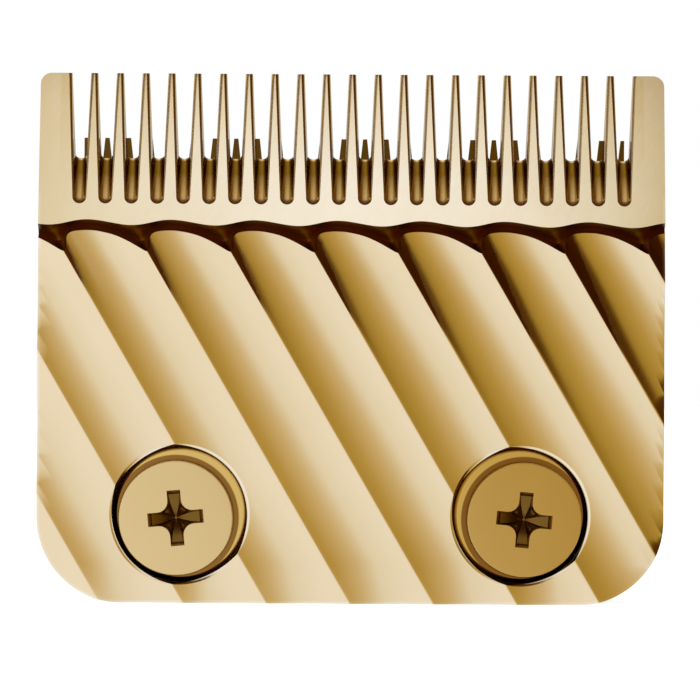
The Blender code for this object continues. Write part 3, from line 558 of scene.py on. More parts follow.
class Bench:
    """Modelling by hand: primitives, edit-mode operators and applied modifiers."""

    @staticmethod
    def clear() -> None:
        """Deselect everything."""
        bpy.ops.object.select_all(action="DESELECT")

    @staticmethod
    def only(piece: Object) -> None:
        """Select one object and make it active.

        Args:
            piece: The piece.
        """
        Bench.clear()
        piece.select_set(True)
        bpy.context.view_layer.objects.active = piece

    @staticmethod
    def settled(piece: Object, name: str) -> Object:
        """Name an object and put its place, turn and scale into its mesh.

        Args:
            piece: The piece.
            name: The object's name.

        Returns:
            The piece.
        """
        piece.name = name
        piece.data.name = name
        Bench.only(piece)
        bpy.ops.object.transform_apply(location=True, rotation=True, scale=True)
        return piece

    @staticmethod
    def block(name: str, low: Sequence[float], high: Sequence[float]) -> Object:
        """Return a block between two corners.

        Args:
            name: The object's name.
            low: The lowest corner.
            high: The highest corner.

        Returns:
            A block between two corners.
        """
        size = [b - a for a, b in zip(low, high)]
        centre = [(a + b) / 2 for a, b in zip(low, high)]
        Bench.clear()
        bpy.ops.mesh.primitive_cube_add(size=1.0, location=centre, scale=size)
        return Bench.settled(bpy.context.object, name)

    @staticmethod
    def cone(name: str, radii: Point, span: Point, at: Point, sides: int = 64) -> Object:
        """Return a cone or cylinder along Y.

        Args:
            name: The object's name.
            radii: Radius at the front and at the rear end.
            span: Y of the front and of the rear end.
            at: X and Z of the axis.
            sides: Number of sides.

        Returns:
            A cone or cylinder along Y.
        """
        Bench.clear()
        bpy.ops.mesh.primitive_cone_add(
            vertices=sides, radius1=radii[1], radius2=radii[0], depth=span[1] - span[0],
            location=(at[0], (span[0] + span[1]) / 2, at[1]), rotation=(math.pi / 2, 0, 0),
        )
        return Bench.settled(bpy.context.object, name)

    @staticmethod
    def from_bmesh(name: str, shape: bmesh.types.BMesh) -> Object:
        """Return an object that holds the bmesh, and free it.

        Args:
            name: The object's name.
            shape: The bmesh.

        Returns:
            An object that holds the bmesh, and free it.
        """
        mesh = bpy.data.meshes.new(name)
        shape.to_mesh(mesh)
        shape.free()
        piece = bpy.data.objects.new(name, mesh)
        bpy.context.collection.objects.link(piece)
        return piece

    @staticmethod
    def plate(name: str, outline: Sequence[Point], span: Point) -> Object:
        """Return an (x, z) outline extruded along Y by the extrude operator.

        Args:
            name: The object's name.
            outline: The outline as points, in order.
            span: Where the plate starts and ends.

        Returns:
            An (x, z) outline extruded along Y by the extrude operator.
        """
        shape = bmesh.new()
        shape.faces.new([shape.verts.new((x, span[0], z)) for x, z in outline])
        piece = Bench.from_bmesh(name, shape)
        Bench.extrude_all(piece, (0, span[1] - span[0], 0))
        return piece

    @staticmethod
    def side_plate(name: str, outline: Sequence[Point], span: Point) -> Object:
        """Return a (y, z) outline extruded along X by the extrude operator.

        Args:
            name: The object's name.
            outline: The outline as points, in order.
            span: Where the plate starts and ends.

        Returns:
            A (y, z) outline extruded along X by the extrude operator.
        """
        shape = bmesh.new()
        shape.faces.new([shape.verts.new((span[0], y, z)) for y, z in outline])
        piece = Bench.from_bmesh(name, shape)
        Bench.extrude_all(piece, (span[1] - span[0], 0, 0))
        return piece

    @staticmethod
    def extrude_all(piece: Object, move: Sequence[float]) -> None:
        """Extrude the whole sheet into a closed solid.

        Args:
            piece: The piece.
            move: The move of the new faces.
        """
        Bench.only(piece)
        bpy.ops.object.mode_set(mode="EDIT")
        bpy.ops.mesh.select_all(action="SELECT")
        bpy.ops.mesh.extrude_region_move(TRANSFORM_OT_translate={"value": tuple(move)})
        bpy.ops.mesh.select_all(action="SELECT")
        bpy.ops.mesh.normals_make_consistent(inside=False)
        bpy.ops.object.mode_set(mode="OBJECT")

    @staticmethod
    def turned(name: str, profile: Sequence[Point], at: Point, steps: int = 64) -> Object:
        """Return a (radius, y) profile spun round an axis along Y.

        Args:
            name: The object's name.
            profile: The (radius, y) points, in order.
            at: X and Z of the axis.
            steps: Number of steps.

        Returns:
            A (radius, y) profile spun round an axis along Y.
        """
        shape = bmesh.new()
        verts = [shape.verts.new((radius, y, 0)) for radius, y in profile]
        for pair in zip(verts, verts[1:]):
            shape.edges.new(pair)
        piece = Bench.from_bmesh(name, shape)
        Bench.only(piece)
        bpy.ops.object.mode_set(mode="EDIT")
        bpy.ops.mesh.select_all(action="SELECT")
        bpy.ops.mesh.spin(steps=steps, angle=math.tau, center=(0, 0, 0), axis=(0, 1, 0))
        bpy.ops.mesh.select_all(action="SELECT")
        bpy.ops.mesh.remove_doubles(threshold=0.0001 * MM)
        bpy.ops.mesh.normals_make_consistent(inside=False)
        bpy.ops.object.mode_set(mode="OBJECT")
        piece.location = (at[0], 0, at[1])
        return Bench.settled(piece, name)

    @staticmethod
    def choose(piece: Object, kind: str, test: Callable[[Any], bool]) -> None:
        """Enter edit mode with only the edges or faces that pass the test selected.

        Args:
            piece: The piece.
            kind: EDGE, FACE or VERT.
            test: Says whether an item is chosen.
        """
        Bench.only(piece)
        bpy.ops.object.mode_set(mode="EDIT")
        bpy.ops.mesh.select_mode(type=kind)
        bpy.ops.mesh.select_all(action="DESELECT")
        shape = bmesh.from_edit_mesh(piece.data)
        for item in {"EDGE": shape.edges, "FACE": shape.faces, "VERT": shape.verts}[kind]:
            if test(item):
                item.select_set(True)
        bmesh.update_edit_mesh(piece.data)

    @staticmethod
    def bevel(piece: Object, test: Callable[[Any], bool], width: float, segments: int) -> None:
        """Bevel the edges that pass the test.

        Args:
            piece: The piece.
            test: Says whether an item is chosen.
            width: Width of the bevel.
            segments: Number of segments across the bevel.
        """
        Bench.choose(piece, "EDGE", test)
        bpy.ops.mesh.bevel(offset=width, segments=segments, profile=0.5, clamp_overlap=True)
        bpy.ops.object.mode_set(mode="OBJECT")

    @staticmethod
    def bisect(piece: Object, point: Sequence[float], normal: Sequence[float]) -> None:
        """Cut off what lies beyond a plane and close the cut.

        Args:
            piece: The piece.
            point: A point on the plane.
            normal: The plane's normal, towards what goes.
        """
        Bench.only(piece)
        bpy.ops.object.mode_set(mode="EDIT")
        bpy.ops.mesh.select_all(action="SELECT")
        bpy.ops.mesh.bisect(plane_co=point, plane_no=normal, use_fill=True, clear_outer=True)
        bpy.ops.object.mode_set(mode="OBJECT")

    @staticmethod
    def copies(piece: Object, moves: Iterable[Sequence[float]]) -> Object:
        """Return one object that holds a copy of the piece at each move.

        Args:
            piece: The piece.
            moves: Where each copy goes.

        Returns:
            One object that holds a copy of the piece at each move.
        """
        made = []
        for move in moves:
            twin = piece.copy()
            twin.data = piece.data.copy()
            twin.location = move
            bpy.context.collection.objects.link(twin)
            made.append(twin)
        bpy.data.objects.remove(piece)
        Bench.clear()
        for twin in made:
            twin.select_set(True)
        bpy.context.view_layer.objects.active = made[0]
        bpy.ops.object.join()
        return Bench.settled(made[0], made[0].name)

    @staticmethod
    def boolean(target: Object, tool: Object, operation: str = "DIFFERENCE") -> Object:
        """Cut or join a tool, apply it and remove the tool.

        Args:
            target: The piece that is changed.
            tool: The solid that cuts or joins, removed afterwards.
            operation: DIFFERENCE or UNION.

        Returns:
            The piece.
        """
        modifier = target.modifiers.new("boolean", "BOOLEAN")
        modifier.operation = operation
        modifier.solver = "EXACT"
        modifier.object = tool
        Bench.only(target)
        bpy.ops.object.modifier_apply(modifier=modifier.name)
        bpy.data.objects.remove(tool)
        return target

    @staticmethod
    def soften(piece: Object, width: float, segments: int = 2, angle: float = 40.0) -> Object:
        """Round every edge sharper than the angle with an applied Bevel.

        Args:
            piece: The piece.
            width: Width of the bevel.
            segments: Number of segments across the bevel.
            angle: Sharpness in degrees.

        Returns:
            The piece.
        """
        modifier = piece.modifiers.new("edges", "BEVEL")
        modifier.width = width
        modifier.segments = segments
        modifier.limit_method = "ANGLE"
        modifier.angle_limit = math.radians(angle)
        modifier.harden_normals = False
        Bench.only(piece)
        bpy.ops.object.modifier_apply(modifier=modifier.name)
        return piece

    @staticmethod
    def smooth(piece: Object, angle: float = 32.0) -> Object:
        """Shade smooth, with edges sharper than the angle kept and the large flats flat.

        Args:
            piece: The piece.
            angle: Sharpness in degrees.

        Returns:
            The piece.
        """
        Bench.only(piece)
        bpy.ops.object.shade_smooth_by_angle(angle=math.radians(angle))
        for face in piece.data.polygons:
            if face.area > 1.0 * MM * MM and max(abs(part) for part in face.normal) > 0.9999:
                face.use_smooth = False
        return piece


def arc(centre: Point, radius: float, start: float, end: float, steps: int) -> list[Point]:
    """Return the points of an arc, its angles in degrees from +X towards +Z."""
    angles = [math.radians(start + (end - start) * i / steps) for i in range(steps + 1)]
    return [(centre[0] + radius * math.cos(a), centre[1] + radius * math.sin(a)) for a in angles]


def rounded(
    half: float, low: float, high: float, radius_low: float, radius_high: float, steps: int = 10
) -> list[Point]:
    """Return a rectangle, symmetric about X = 0, with rounded lower and upper corners.

    Args:
        half: Half the width.
        low: Z of the lower edge.
        high: Z of the upper edge.
        radius_low: Radius of the lower corners.
        radius_high: Radius of the upper corners.
        steps: Number of steps.

    Returns:
        A rectangle, symmetric about X = 0.
    """
    points = arc((half - radius_low, low + radius_low), radius_low, -90, 0, steps)
    points += arc((half - radius_high, high - radius_high), radius_high, 0, 90, steps)
    return points + [(-x, z) for x, z in reversed(points)]


def present(piece: Object, finish: Finish, body: Body, *nodes: str) -> Object:
    """Finish a piece, set it on its body and say which CAD nodes it stands for.

    Args:
        piece: The new piece.
        finish: Its surface finish.
        body: The body that it rides on.
        *nodes: The CAD nodes that it replaces.

    Returns:
        The piece.
    """
    finish.on(piece)
    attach(piece, body.value)
    if nodes:
        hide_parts(*nodes)
    LOG.info("%s: %d faces on %s", piece.name, len(piece.data.polygons), body.value)
    return piece


@dataclass
class FixedBlade:
    """The gold blade: a ground wedge with slots, diagonal flutes and two screw recesses."""

    thickness: float = 3.0 * MM
    tip_thickness: float = 0.35 * MM
    wedge: float = math.radians(13.0)
    bottom_radius: float = 6.2 * MM
    tip_radius: float = 0.8 * MM
    tooth_pitch: float = 1.905 * MM
    slot_count: int = 22
    slot_root_front: float = 29.34 * MM
    slot_root_back: float = 32.67 * MM
    slot_root_half: float = 0.42 * MM
    slot_tip_half: float = 0.70 * MM
    cove_depth: float = 0.95 * MM
    strip_mean: float = 27.88 * MM
    strip_wave: float = 0.20 * MM
    recess_x: float = 12.5 * MM
    recess_z: float = 6.5 * MM
    recess_depth: float = 1.75 * MM
    recess_rim: float = 5.0 * MM
    recess_floor: float = 4.65 * MM
    lip_flare: float = 0.20 * MM
    lip_depth: float = 0.50 * MM
    hole_x: float = 12.8 * MM
    hole_z: float = 6.2 * MM
    hole_radius: float = 2.5 * MM

    def __post_init__(self) -> None:
        """Read the blade's box from the frame."""
        low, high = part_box("fixed_blade")
        self.half = high.x
        self.height = high.z
        self.back = high.y
        self.face = self.back - self.thickness

    def skin(self, z: float) -> float:
        """Return the Y of the ground wedge at height z."""
        return self.back - self.tip_thickness - (self.height - z) * math.tan(self.wedge)

    def strip_edge(self, t: float) -> float:
        """Return the height of the wavy lower edge of the ground strip across one flute."""
        return self.strip_mean - self.strip_wave * math.cos(math.tau * t)

    def dip(self, t: float, z: float) -> float:
        """Return how deep a flute is at t, from 0 at one ridge to 1 at the next.

        Args:
            t: How far across a flute, 0 to 1.
            z: Height.

        Returns:
            How deep a flute is at t.
        """
        rise = max(0.0, min(1.0, z / FLUTES.deep_end))
        depth = FLUTES.depth_low + (FLUTES.depth_high - FLUTES.depth_low) * rise**3
        width = FLUTES.pitch * math.cos(FLUTES.turn)
        away = min(t, 1.0 - t) * width
        rounded_away = math.hypot(away, FLUTES.ridge_round) - FLUTES.ridge_round
        return 4.0 * depth / width * rounded_away * (1.0 - away / width)

    def depth(self, t: float, z: float) -> float:
        """Return the depth under the ridge tops at height z, t of the way across a flute.

        Args:
            t: How far across a flute, 0 to 1.
            z: Height.

        Returns:
            The depth under the ridge tops at height z.
        """
        end = FLUTES.end(t)
        if z <= end:
            return self.dip(t, z)
        edge = self.strip_edge(t)
        floor = end + 0.4 * (edge - end)
        if z <= floor:
            share = (z - end) / (floor - end)
            return self.dip(t, end) + (self.cove_depth - self.dip(t, end)) * share**0.7
        share = (z - floor) / (edge - floor)
        top = self.skin(edge) - self.face
        return self.cove_depth + (top - self.cove_depth) * share**1.3

    def columns(self) -> list[float]:
        """Return the places across one flute where the surface has points.

        Returns:
            The places across one flute where the surface has points.
        """
        near = [0.0, 0.006, 0.014, 0.03, 0.06]
        middle = [0.10 + 0.04 * i for i in range(21)]
        return near + middle + [1.0 - t for t in reversed(near[1:])]

    def heights(self, t: float) -> list[float]:
        """Return the heights where the surface has points, t of the way across a flute.

        Args:
            t: How far across a flute, 0 to 1.

        Returns:
            The heights where the surface has points.
        """
        end = FLUTES.end(t)
        edge = self.strip_edge(t)
        low = [-1.0 * MM] + [end * (i / 16) ** 0.8 for i in range(1, 17)]
        cove = [end + (edge - end) * i / 15 for i in range(1, 16)]
        return low + cove

    def skin_tool(self) -> Object:
        """Return the solid that carves flutes and cove out of the blank.

        Returns:
            The solid that carves flutes and cove out of the blank.
        """
        shape = bmesh.new()
        across = [(k, t) for k in range(-6, 6) for t in self.columns()] + [(6, 0.0)]
        rows = []
        for k, t in across:
            row = []
            for z in self.heights(t):
                x = FLUTES.phase - FLUTES.slant * z + FLUTES.pitch * (k + t)
                row.append(shape.verts.new((x, self.face + self.depth(t, z) + 0.003 * MM, z)))
            top = row[-1].co
            row.append(shape.verts.new((top.x, self.face - 1.0 * MM, top.z)))
            rows.append(row)
        for left, right in zip(rows, rows[1:]):
            for i in range(len(left) - 1):
                shape.faces.new((left[i], right[i], right[i + 1], left[i + 1]))
        piece = Bench.from_bmesh("skin_tool", shape)
        Bench.choose(piece, "EDGE", lambda edge: edge.is_boundary)
        bpy.ops.mesh.extrude_region_move(TRANSFORM_OT_translate={"value": (0, 0, 0)})
        bpy.ops.transform.resize(value=(1, 0, 1), center_override=(0, self.face - 1.0 * MM, 0))
        bpy.ops.mesh.edge_face_add()
        bpy.ops.mesh.select_all(action="SELECT")
        bpy.ops.mesh.remove_doubles(threshold=0.0005 * MM)
        bpy.ops.mesh.normals_make_consistent(inside=False)
        bpy.ops.object.mode_set(mode="OBJECT")
        return piece

    def blank(self) -> Object:
        """Return the plate with rounded corners and the wedge ground on it.

        Returns:
            The plate with rounded corners and the wedge ground on it.
        """
        piece = Bench.block(
            "fixed_blade_skin", (-self.half, self.face, 0.0), (self.half, self.back, self.height)
        )

        def corner(edge: Any, high: bool) -> bool:
            """Say whether an edge runs along Y at a lower or upper corner."""
            a, b = (vert.co for vert in edge.verts)
            return abs(a.y - b.y) > self.thickness / 2 and (a.z > self.height / 2) == high

        Bench.bevel(piece, lambda edge: corner(edge, False), self.bottom_radius, 24)
        Bench.bevel(
            piece,
            lambda edge: corner(edge, True) and edge.verts[0].co.z > self.height - 0.1 * MM,
            self.tip_radius,
            8,
        )
        tip = (0.0, self.skin(self.height), self.height)
        Bench.bisect(piece, tip, (0.0, -math.cos(self.wedge), math.sin(self.wedge)))
        top = self.height - 0.001 * MM
        Bench.bevel(
            piece,
            lambda edge: all(vert.co.z > top for vert in edge.verts) and abs(
                edge.verts[0].co.x - edge.verts[1].co.x
            ) > 10 * MM,
            0.1 * MM, 3
        )
        return piece

    def tooth_bevel(self, z: float) -> float:
        """Return how wide the rounding at a tooth's flanks is at height z."""
        share = max(0.0, min(1.0, (z - self.slot_root_front) / (self.height - self.slot_root_front)))
        return (0.08 + 0.15 * share**0.8) * MM

    def slot_ring(self, under: float, spread: float) -> list[tuple[float, float, float]]:
        """Return a slot's outline on a plane parallel to the skin.

        Args:
            under: How far below the skin the plane is.
            spread: How much of the flank's rounding the outline is widened by.

        Returns:
            A slot's outline on a plane parallel to the skin.
        """
        root = self.slot_root_front + self.slot_root_half
        top = self.height + 0.5 * MM
        widening = (self.slot_tip_half - self.slot_root_half) / (self.height - self.slot_root_back)
        slope = (self.slot_root_back - self.slot_root_front) / (self.back - self.skin(self.slot_root_front))
        radius = self.slot_root_half + spread * self.tooth_bevel(root)
        right = arc((0.0, root), radius, 270, 360, 10)
        for i in range(1, 13):
            z = root + (top - root) * i / 12
            level = z - (z - self.slot_root_front) * math.tan(self.wedge) * slope
            half = self.slot_root_half + widening * max(0.0, level - root) + spread * self.tooth_bevel(z)
            right.append((half, z))
        outline = [(-x, z) for x, z in reversed(right[1:])] + right
        return [(x, self.skin(z) + under, z + max(under, 0.0) * slope) for x, z in outline]

    def slot_tool(self) -> Object:
        """Return the solids that cut the slots, rounded at the skin and sloping up to the back.

        Returns:
            The solids that cut the slots, rounded at the skin and sloping up to the back.
        """
        rings = [self.slot_ring(-0.40 * MM, 1.0), self.slot_ring(0.0, 1.0), self.slot_ring(0.03 * MM, 0.62)]
        rings += [
            self.slot_ring(0.08 * MM, 0.32), self.slot_ring(0.15 * MM, 0.11),
            self.slot_ring(0.26 * MM, 0.0)
        ]
        front = self.skin(self.slot_root_front)
        slope = (self.slot_root_back - self.slot_root_front) / (self.back - front)
        end = self.back + 0.5 * MM
        flat = self.slot_ring(0.0, 0.0)
        rings.append([(x, end, z + (end - y) * slope) for x, y, z in flat])
        shape = bmesh.new()
        loops = [[shape.verts.new(point) for point in ring] for ring in rings]
        for first, second in zip(loops, loops[1:]):
            for i in range(len(first)):
                j = (i + 1) % len(first)
                shape.faces.new((first[i], first[j], second[j], second[i]))
        shape.faces.new(loops[0])
        shape.faces.new(list(reversed(loops[-1])))
        bmesh.ops.recalc_face_normals(shape, faces=shape.faces)
        tool = Bench.from_bmesh("slot_tool", shape)
        places = [(i - (self.slot_count - 1) / 2) * self.tooth_pitch for i in range(self.slot_count)]
        return Bench.copies(tool, [(x, 0, 0) for x in places])

    def build(self) -> Object:
        """Model the blade and set it in place of its CAD node.

        Returns:
            The finished piece.
        """
        piece = self.blank()
        Bench.boolean(piece, self.skin_tool())
        Bench.boolean(piece, self.slot_tool())
        taper = (self.recess_rim - self.recess_floor) / self.recess_depth
        over = 0.6 * MM
        floor = self.face + self.recess_depth
        profile = [
            (0.0, self.face - over),
            (self.recess_rim + self.lip_flare * (1.0 + over / self.lip_depth), self.face - over),
            (self.recess_rim - taper * self.lip_depth, self.face + self.lip_depth),
            (self.recess_floor, floor), (0.0, floor),
        ]
        for _, side in SIDES:
            at = (side * self.recess_x, self.recess_z)
            Bench.boolean(piece, Bench.turned("recess", profile, at, 128))
            hole = (side * self.hole_x, self.hole_z)
            radii = (self.hole_radius, self.hole_radius)
            Bench.boolean(piece, Bench.cone("hole", radii, (self.face, self.back + over), hole))
        over = 0.5 * MM
        relief = Bench.block(
            "relief", (-self.half - over, self.back - 0.4 * MM, 22.8 * MM),
            (self.half + over, self.back + over, 28.4 * MM)
        )
        Bench.boolean(piece, relief)
        self.break_edges(piece)
        Bench.smooth(piece, 30.0)
        self.flatten(piece)
        return present(piece, BLADE_GOLD, Body.HEAD, "fixed_blade")

    def flatten(self, piece: Object) -> None:
        """Shade the ground strip, the sides and the back flat.

        Args:
            piece: The piece.
        """
        wedge = Vector((0.0, -math.cos(self.wedge), math.sin(self.wedge)))
        for face in piece.data.polygons:
            normal = face.normal
            plane = abs(normal.x) > 0.9999 or abs(normal.y) > 0.9999 or abs(normal.z) > 0.9999
            if plane or normal.dot(wedge) > 0.99999:
                face.use_smooth = False

    def break_edges(self, piece: Object) -> None:
        """Bevel the skin-side edge of the outline and the rims of the recesses.

        Args:
            piece: The piece.
        """

        def between(edge: Any) -> Any:
            """Return the middle of an edge between a skin face and a steep face, or None.

            Args:
                edge: The edge.

            Returns:
                The middle of an edge between a skin face and a steep face, or None.
            """
            if len(edge.link_faces) != 2:
                return None
            skin_faces = [face for face in edge.link_faces if face.normal.y < -0.70]
            steep_faces = [face for face in edge.link_faces if abs(face.normal.y) < 0.35]
            if len(skin_faces) != 1 or len(steep_faces) != 1:
                return None
            return (edge.verts[0].co + edge.verts[1].co) / 2

        def outline_edge(edge: Any) -> bool:
            """Say whether an edge lies on the blade's outline, at the skin face.

            Args:
                edge: The edge.

            Returns:
                Whether an edge lies on the blade's outline, at the skin face.
            """
            middle = between(edge)
            if middle is None or middle.y > self.face + 1.0 * MM or middle.z > 25.5 * MM:
                return False
            corner_x = abs(middle.x) - (self.half - self.bottom_radius)
            corner_z = self.bottom_radius - middle.z
            on_corner = corner_x > 0 and corner_z > 0
            reach = self.bottom_radius - 0.05 * MM
            if on_corner:
                return math.hypot(corner_x, corner_z) > reach
            return abs(middle.x) > self.half - 0.02 * MM or middle.z < 0.02 * MM

        def rim_edge(edge: Any) -> bool:
            """Say whether an edge lies on the rim of a screw recess.

            Args:
                edge: The edge.

            Returns:
                Whether an edge lies on the rim of a screw recess.
            """
            middle = between(edge)
            if middle is None or middle.y > self.face + 0.9 * MM:
                return False
            radius = math.hypot(abs(middle.x) - self.recess_x, middle.z - self.recess_z)
            return abs(radius - self.recess_rim) < 0.25 * MM

        Bench.bevel(piece, outline_edge, 0.20 * MM, 2)
        Bench.bevel(piece, rim_edge, 0.10 * MM, 2)


@dataclass(frozen=True)
class Cross:
    """A cross recess: how long and wide its arms are, how deep it goes, how far it is turned."""

    span: float = 4.1 * MM
    arm: float = 1.0 * MM
    depth: float = 0.8 * MM
    fillet: float = 0.80 * MM
    turn: float = 0.0

    def outline(self, reach: float, half: float, fillet: float) -> list[Point]:
        """Return the cross as (x, z) points, with filleted inner corners.

        Args:
            reach: Half the span of the arms.
            half: Half the arms' width.
            fillet: Radius of the inner corners.

        Returns:
            The cross as (x, z) points.
        """
        corner = half + fillet
        quarter = [(reach, -half), (reach, half)] + arc((corner, corner), fillet, 270, 180, 6)
        points = []
        for i in range(4):
            angle = math.radians(90.0 * i) + self.turn
            cosine, sine = math.cos(angle), math.sin(angle)
            points += [(x * cosine - z * sine, x * sine + z * cosine) for x, z in quarter]
        return points

    def cut(self, piece: Object, at: Point, front: float, facing: float = 1.0) -> None:
        """Cut the recess into a flat head.

        Args:
            piece: The screw.
            at: X and Z of its axis.
            front: Y of the flat face of its head.
            facing: 1 where the recess goes towards +Y, -1 where it goes towards -Y.
        """
        reach, half = self.span / 2, self.arm / 2
        sections = [(-0.3 * MM, 1.02, 1.06, 1.0), (0.0, 1.0, 1.0, 1.0), (0.12 * MM, 0.95, 0.92, 1.0)]
        sections += [(self.depth * 0.55, 0.86, 0.80, 0.9), (self.depth * 0.8, 0.52, 0.62, 0.45)]
        sections += [(self.depth * 1.6, 0.05, 0.10, 0.04)]
        shape = bmesh.new()
        loops = []
        for deep, long, wide, round_in in sections:
            ring = self.outline(reach * long, half * wide, self.fillet * round_in)
            loops.append([shape.verts.new((at[0] + x, front + facing * deep, at[1] + z)) for x, z in ring])
        for first, second in zip(loops, loops[1:]):
            for i in range(len(first)):
                j = (i + 1) % len(first)
                shape.faces.new((first[i], first[j], second[j], second[i]))
        shape.faces.new(loops[0])
        shape.faces.new(list(reversed(loops[-1])))
        bmesh.ops.recalc_face_normals(shape, faces=shape.faces)
        Bench.boolean(piece, Bench.from_bmesh("cross", shape))


@dataclass
class BladeScrews:
    """The two flat cross-head screws that clamp the blade to the frame."""

    head_height: float = 1.1 * MM
    shank_radius: float = 1.9 * MM
    thread_pitch: float = 0.7 * MM
    thread_depth: float = 0.22 * MM
    turn: float = math.radians(5.0)
    rim: float = 0.13 * MM

    def build(self) -> None:
        """Model both screws."""
        # The left screw gets the lit copy of the gold, the right one the shaded copy.
        finishes = {"left": SCREW_GOLD_LIT, "right": SCREW_GOLD_SHADED}
        for label, side in SIDES:
            node = f"blade_screw_{label}"
            low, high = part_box(node)
            radius = (high.x - low.x) / 2
            at = ((low.x + high.x) / 2, (low.z + high.z) / 2)
            piece = Bench.turned(f"{node}_turned", self.profile(radius, low.y, high.y), at, 96)
            Cross(turn=-side * self.turn).cut(piece, at, low.y)
            Bench.smooth(piece, 28.0)
            present(piece, finishes[label], Body.HEAD, node)

    def profile(self, radius: float, front: float, end: float) -> list[Point]:
        """Return the (radius, y) profile: rounded head, threaded shank, chamfered end.

        Args:
            radius: Radius of the head.
            front: Y of the front.
            end: Y of the end.

        Returns:
            The (radius, y) profile: rounded head, threaded shank, chamfered end.
        """
        under = front + self.head_height
        points = [(0.0, front), (radius - 2.4 * self.rim, front)]
        points += [
            (radius - self.rim * (1 - math.sin(a)), front + self.rim * (1 - math.cos(a)))
            for a in (0.35, 0.8, 1.2, 1.57)
        ]
        points += [(radius, under - 0.06 * MM), (radius - 0.06 * MM, under), (self.shank_radius, under)]
        y = under + 0.5 * MM
        while y < end - 1.1 * MM:
            points += [
                (self.shank_radius, y),
                (self.shank_radius - self.thread_depth, y + self.thread_pitch / 2)
            ]
            y += self.thread_pitch
        return points + [
            (self.shank_radius, y), (self.shank_radius, end - 0.4 * MM),
            (self.shank_radius - 0.4 * MM, end), (0.0, end)
        ]


@dataclass
class CutterBlade:
    """The moving cutter: a hollow-ground plate with sharp teeth, bevelled behind."""

    pitch: float = 1.5875 * MM
    slot_count: int = 25
    slot_root: float = 31.0 * MM
    slot_root_half: float = 0.34 * MM
    slot_tip_half: float = 0.64 * MM
    tip_thickness: float = 0.5 * MM
    bevel_low: float = 29.0 * MM
    relief: tuple[float, float] = (22.4 * MM, 28.8 * MM)
    relief_depth: float = 0.25 * MM
    bore: float = 1.15 * MM
    screw_half: float = 7.4 * MM
    screw_z: float = 26.2 * MM

    def build(self) -> Object:
        """Model the cutter.

        Returns:
            The finished piece.
        """
        low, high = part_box("cutter_blade")
        middle = (low.x + high.x) / 2
        piece = Bench.side_plate("cutter_ground", self.section(low, high), (low.x, high.x))
        Bench.boolean(piece, self.slots(middle, low, high))
        for _, side in SIDES:
            at = (middle + side * self.screw_half, self.screw_z)
            span = (low.y - 0.5 * MM, high.y + 0.5 * MM)
            Bench.boolean(piece, Bench.cone("bore", (self.bore, self.bore), span, at, 48))
        Bench.soften(piece, 0.04 * MM, 2, 35.0)
        Bench.smooth(piece, 28.0)
        return present(piece, CUTTER_GOLD_SHADED, Body.CUTTER, "cutter_blade")

    def section(self, low: Vector, high: Vector) -> list[Point]:
        """Return the (y, z) outline of the plate, with its front hollow as a shallow arc.

        Args:
            low: The lowest corner.
            high: The highest corner.

        Returns:
            The (y, z) outline of the plate.
        """
        hollow_low, hollow_high = self.relief
        points = [(low.y, low.z), (low.y, hollow_low)]
        for i in range(1, 16):
            share = i / 16
            depth = self.relief_depth * min(1.0, 6.0 * share * (1.0 - share))
            points.append((low.y + depth, hollow_low + share * (hollow_high - hollow_low)))
        points += [(low.y, hollow_high), (low.y, high.z), (low.y + self.tip_thickness, high.z)]
        return points + [(high.y, self.bevel_low), (high.y, low.z + 0.3 * MM), (high.y - 0.3 * MM, low.z)]

    def slots(self, middle: float, low: Vector, high: Vector) -> Object:
        """Return the solids that cut the slots between the teeth.

        Args:
            middle: X of the middle.
            low: The lowest corner.
            high: The highest corner.

        Returns:
            The solids that cut the slots between the teeth.
        """
        root = self.slot_root + self.slot_root_half
        top = high.z + 1.0 * MM
        widening = (self.slot_tip_half - self.slot_root_half) / (high.z - root)
        top_half = self.slot_root_half + widening * (top - root)
        outline = arc((0.0, root), self.slot_root_half, 180, 360, 12) + [(top_half, top), (-top_half, top)]
        tool = Bench.plate("cutter_slot", outline, (low.y - 0.5 * MM, high.y + 0.5 * MM))
        centre = (self.slot_count - 1) / 2
        return Bench.copies(
            tool, [(middle + (i - centre) * self.pitch, 0, 0) for i in range(self.slot_count)]
        )


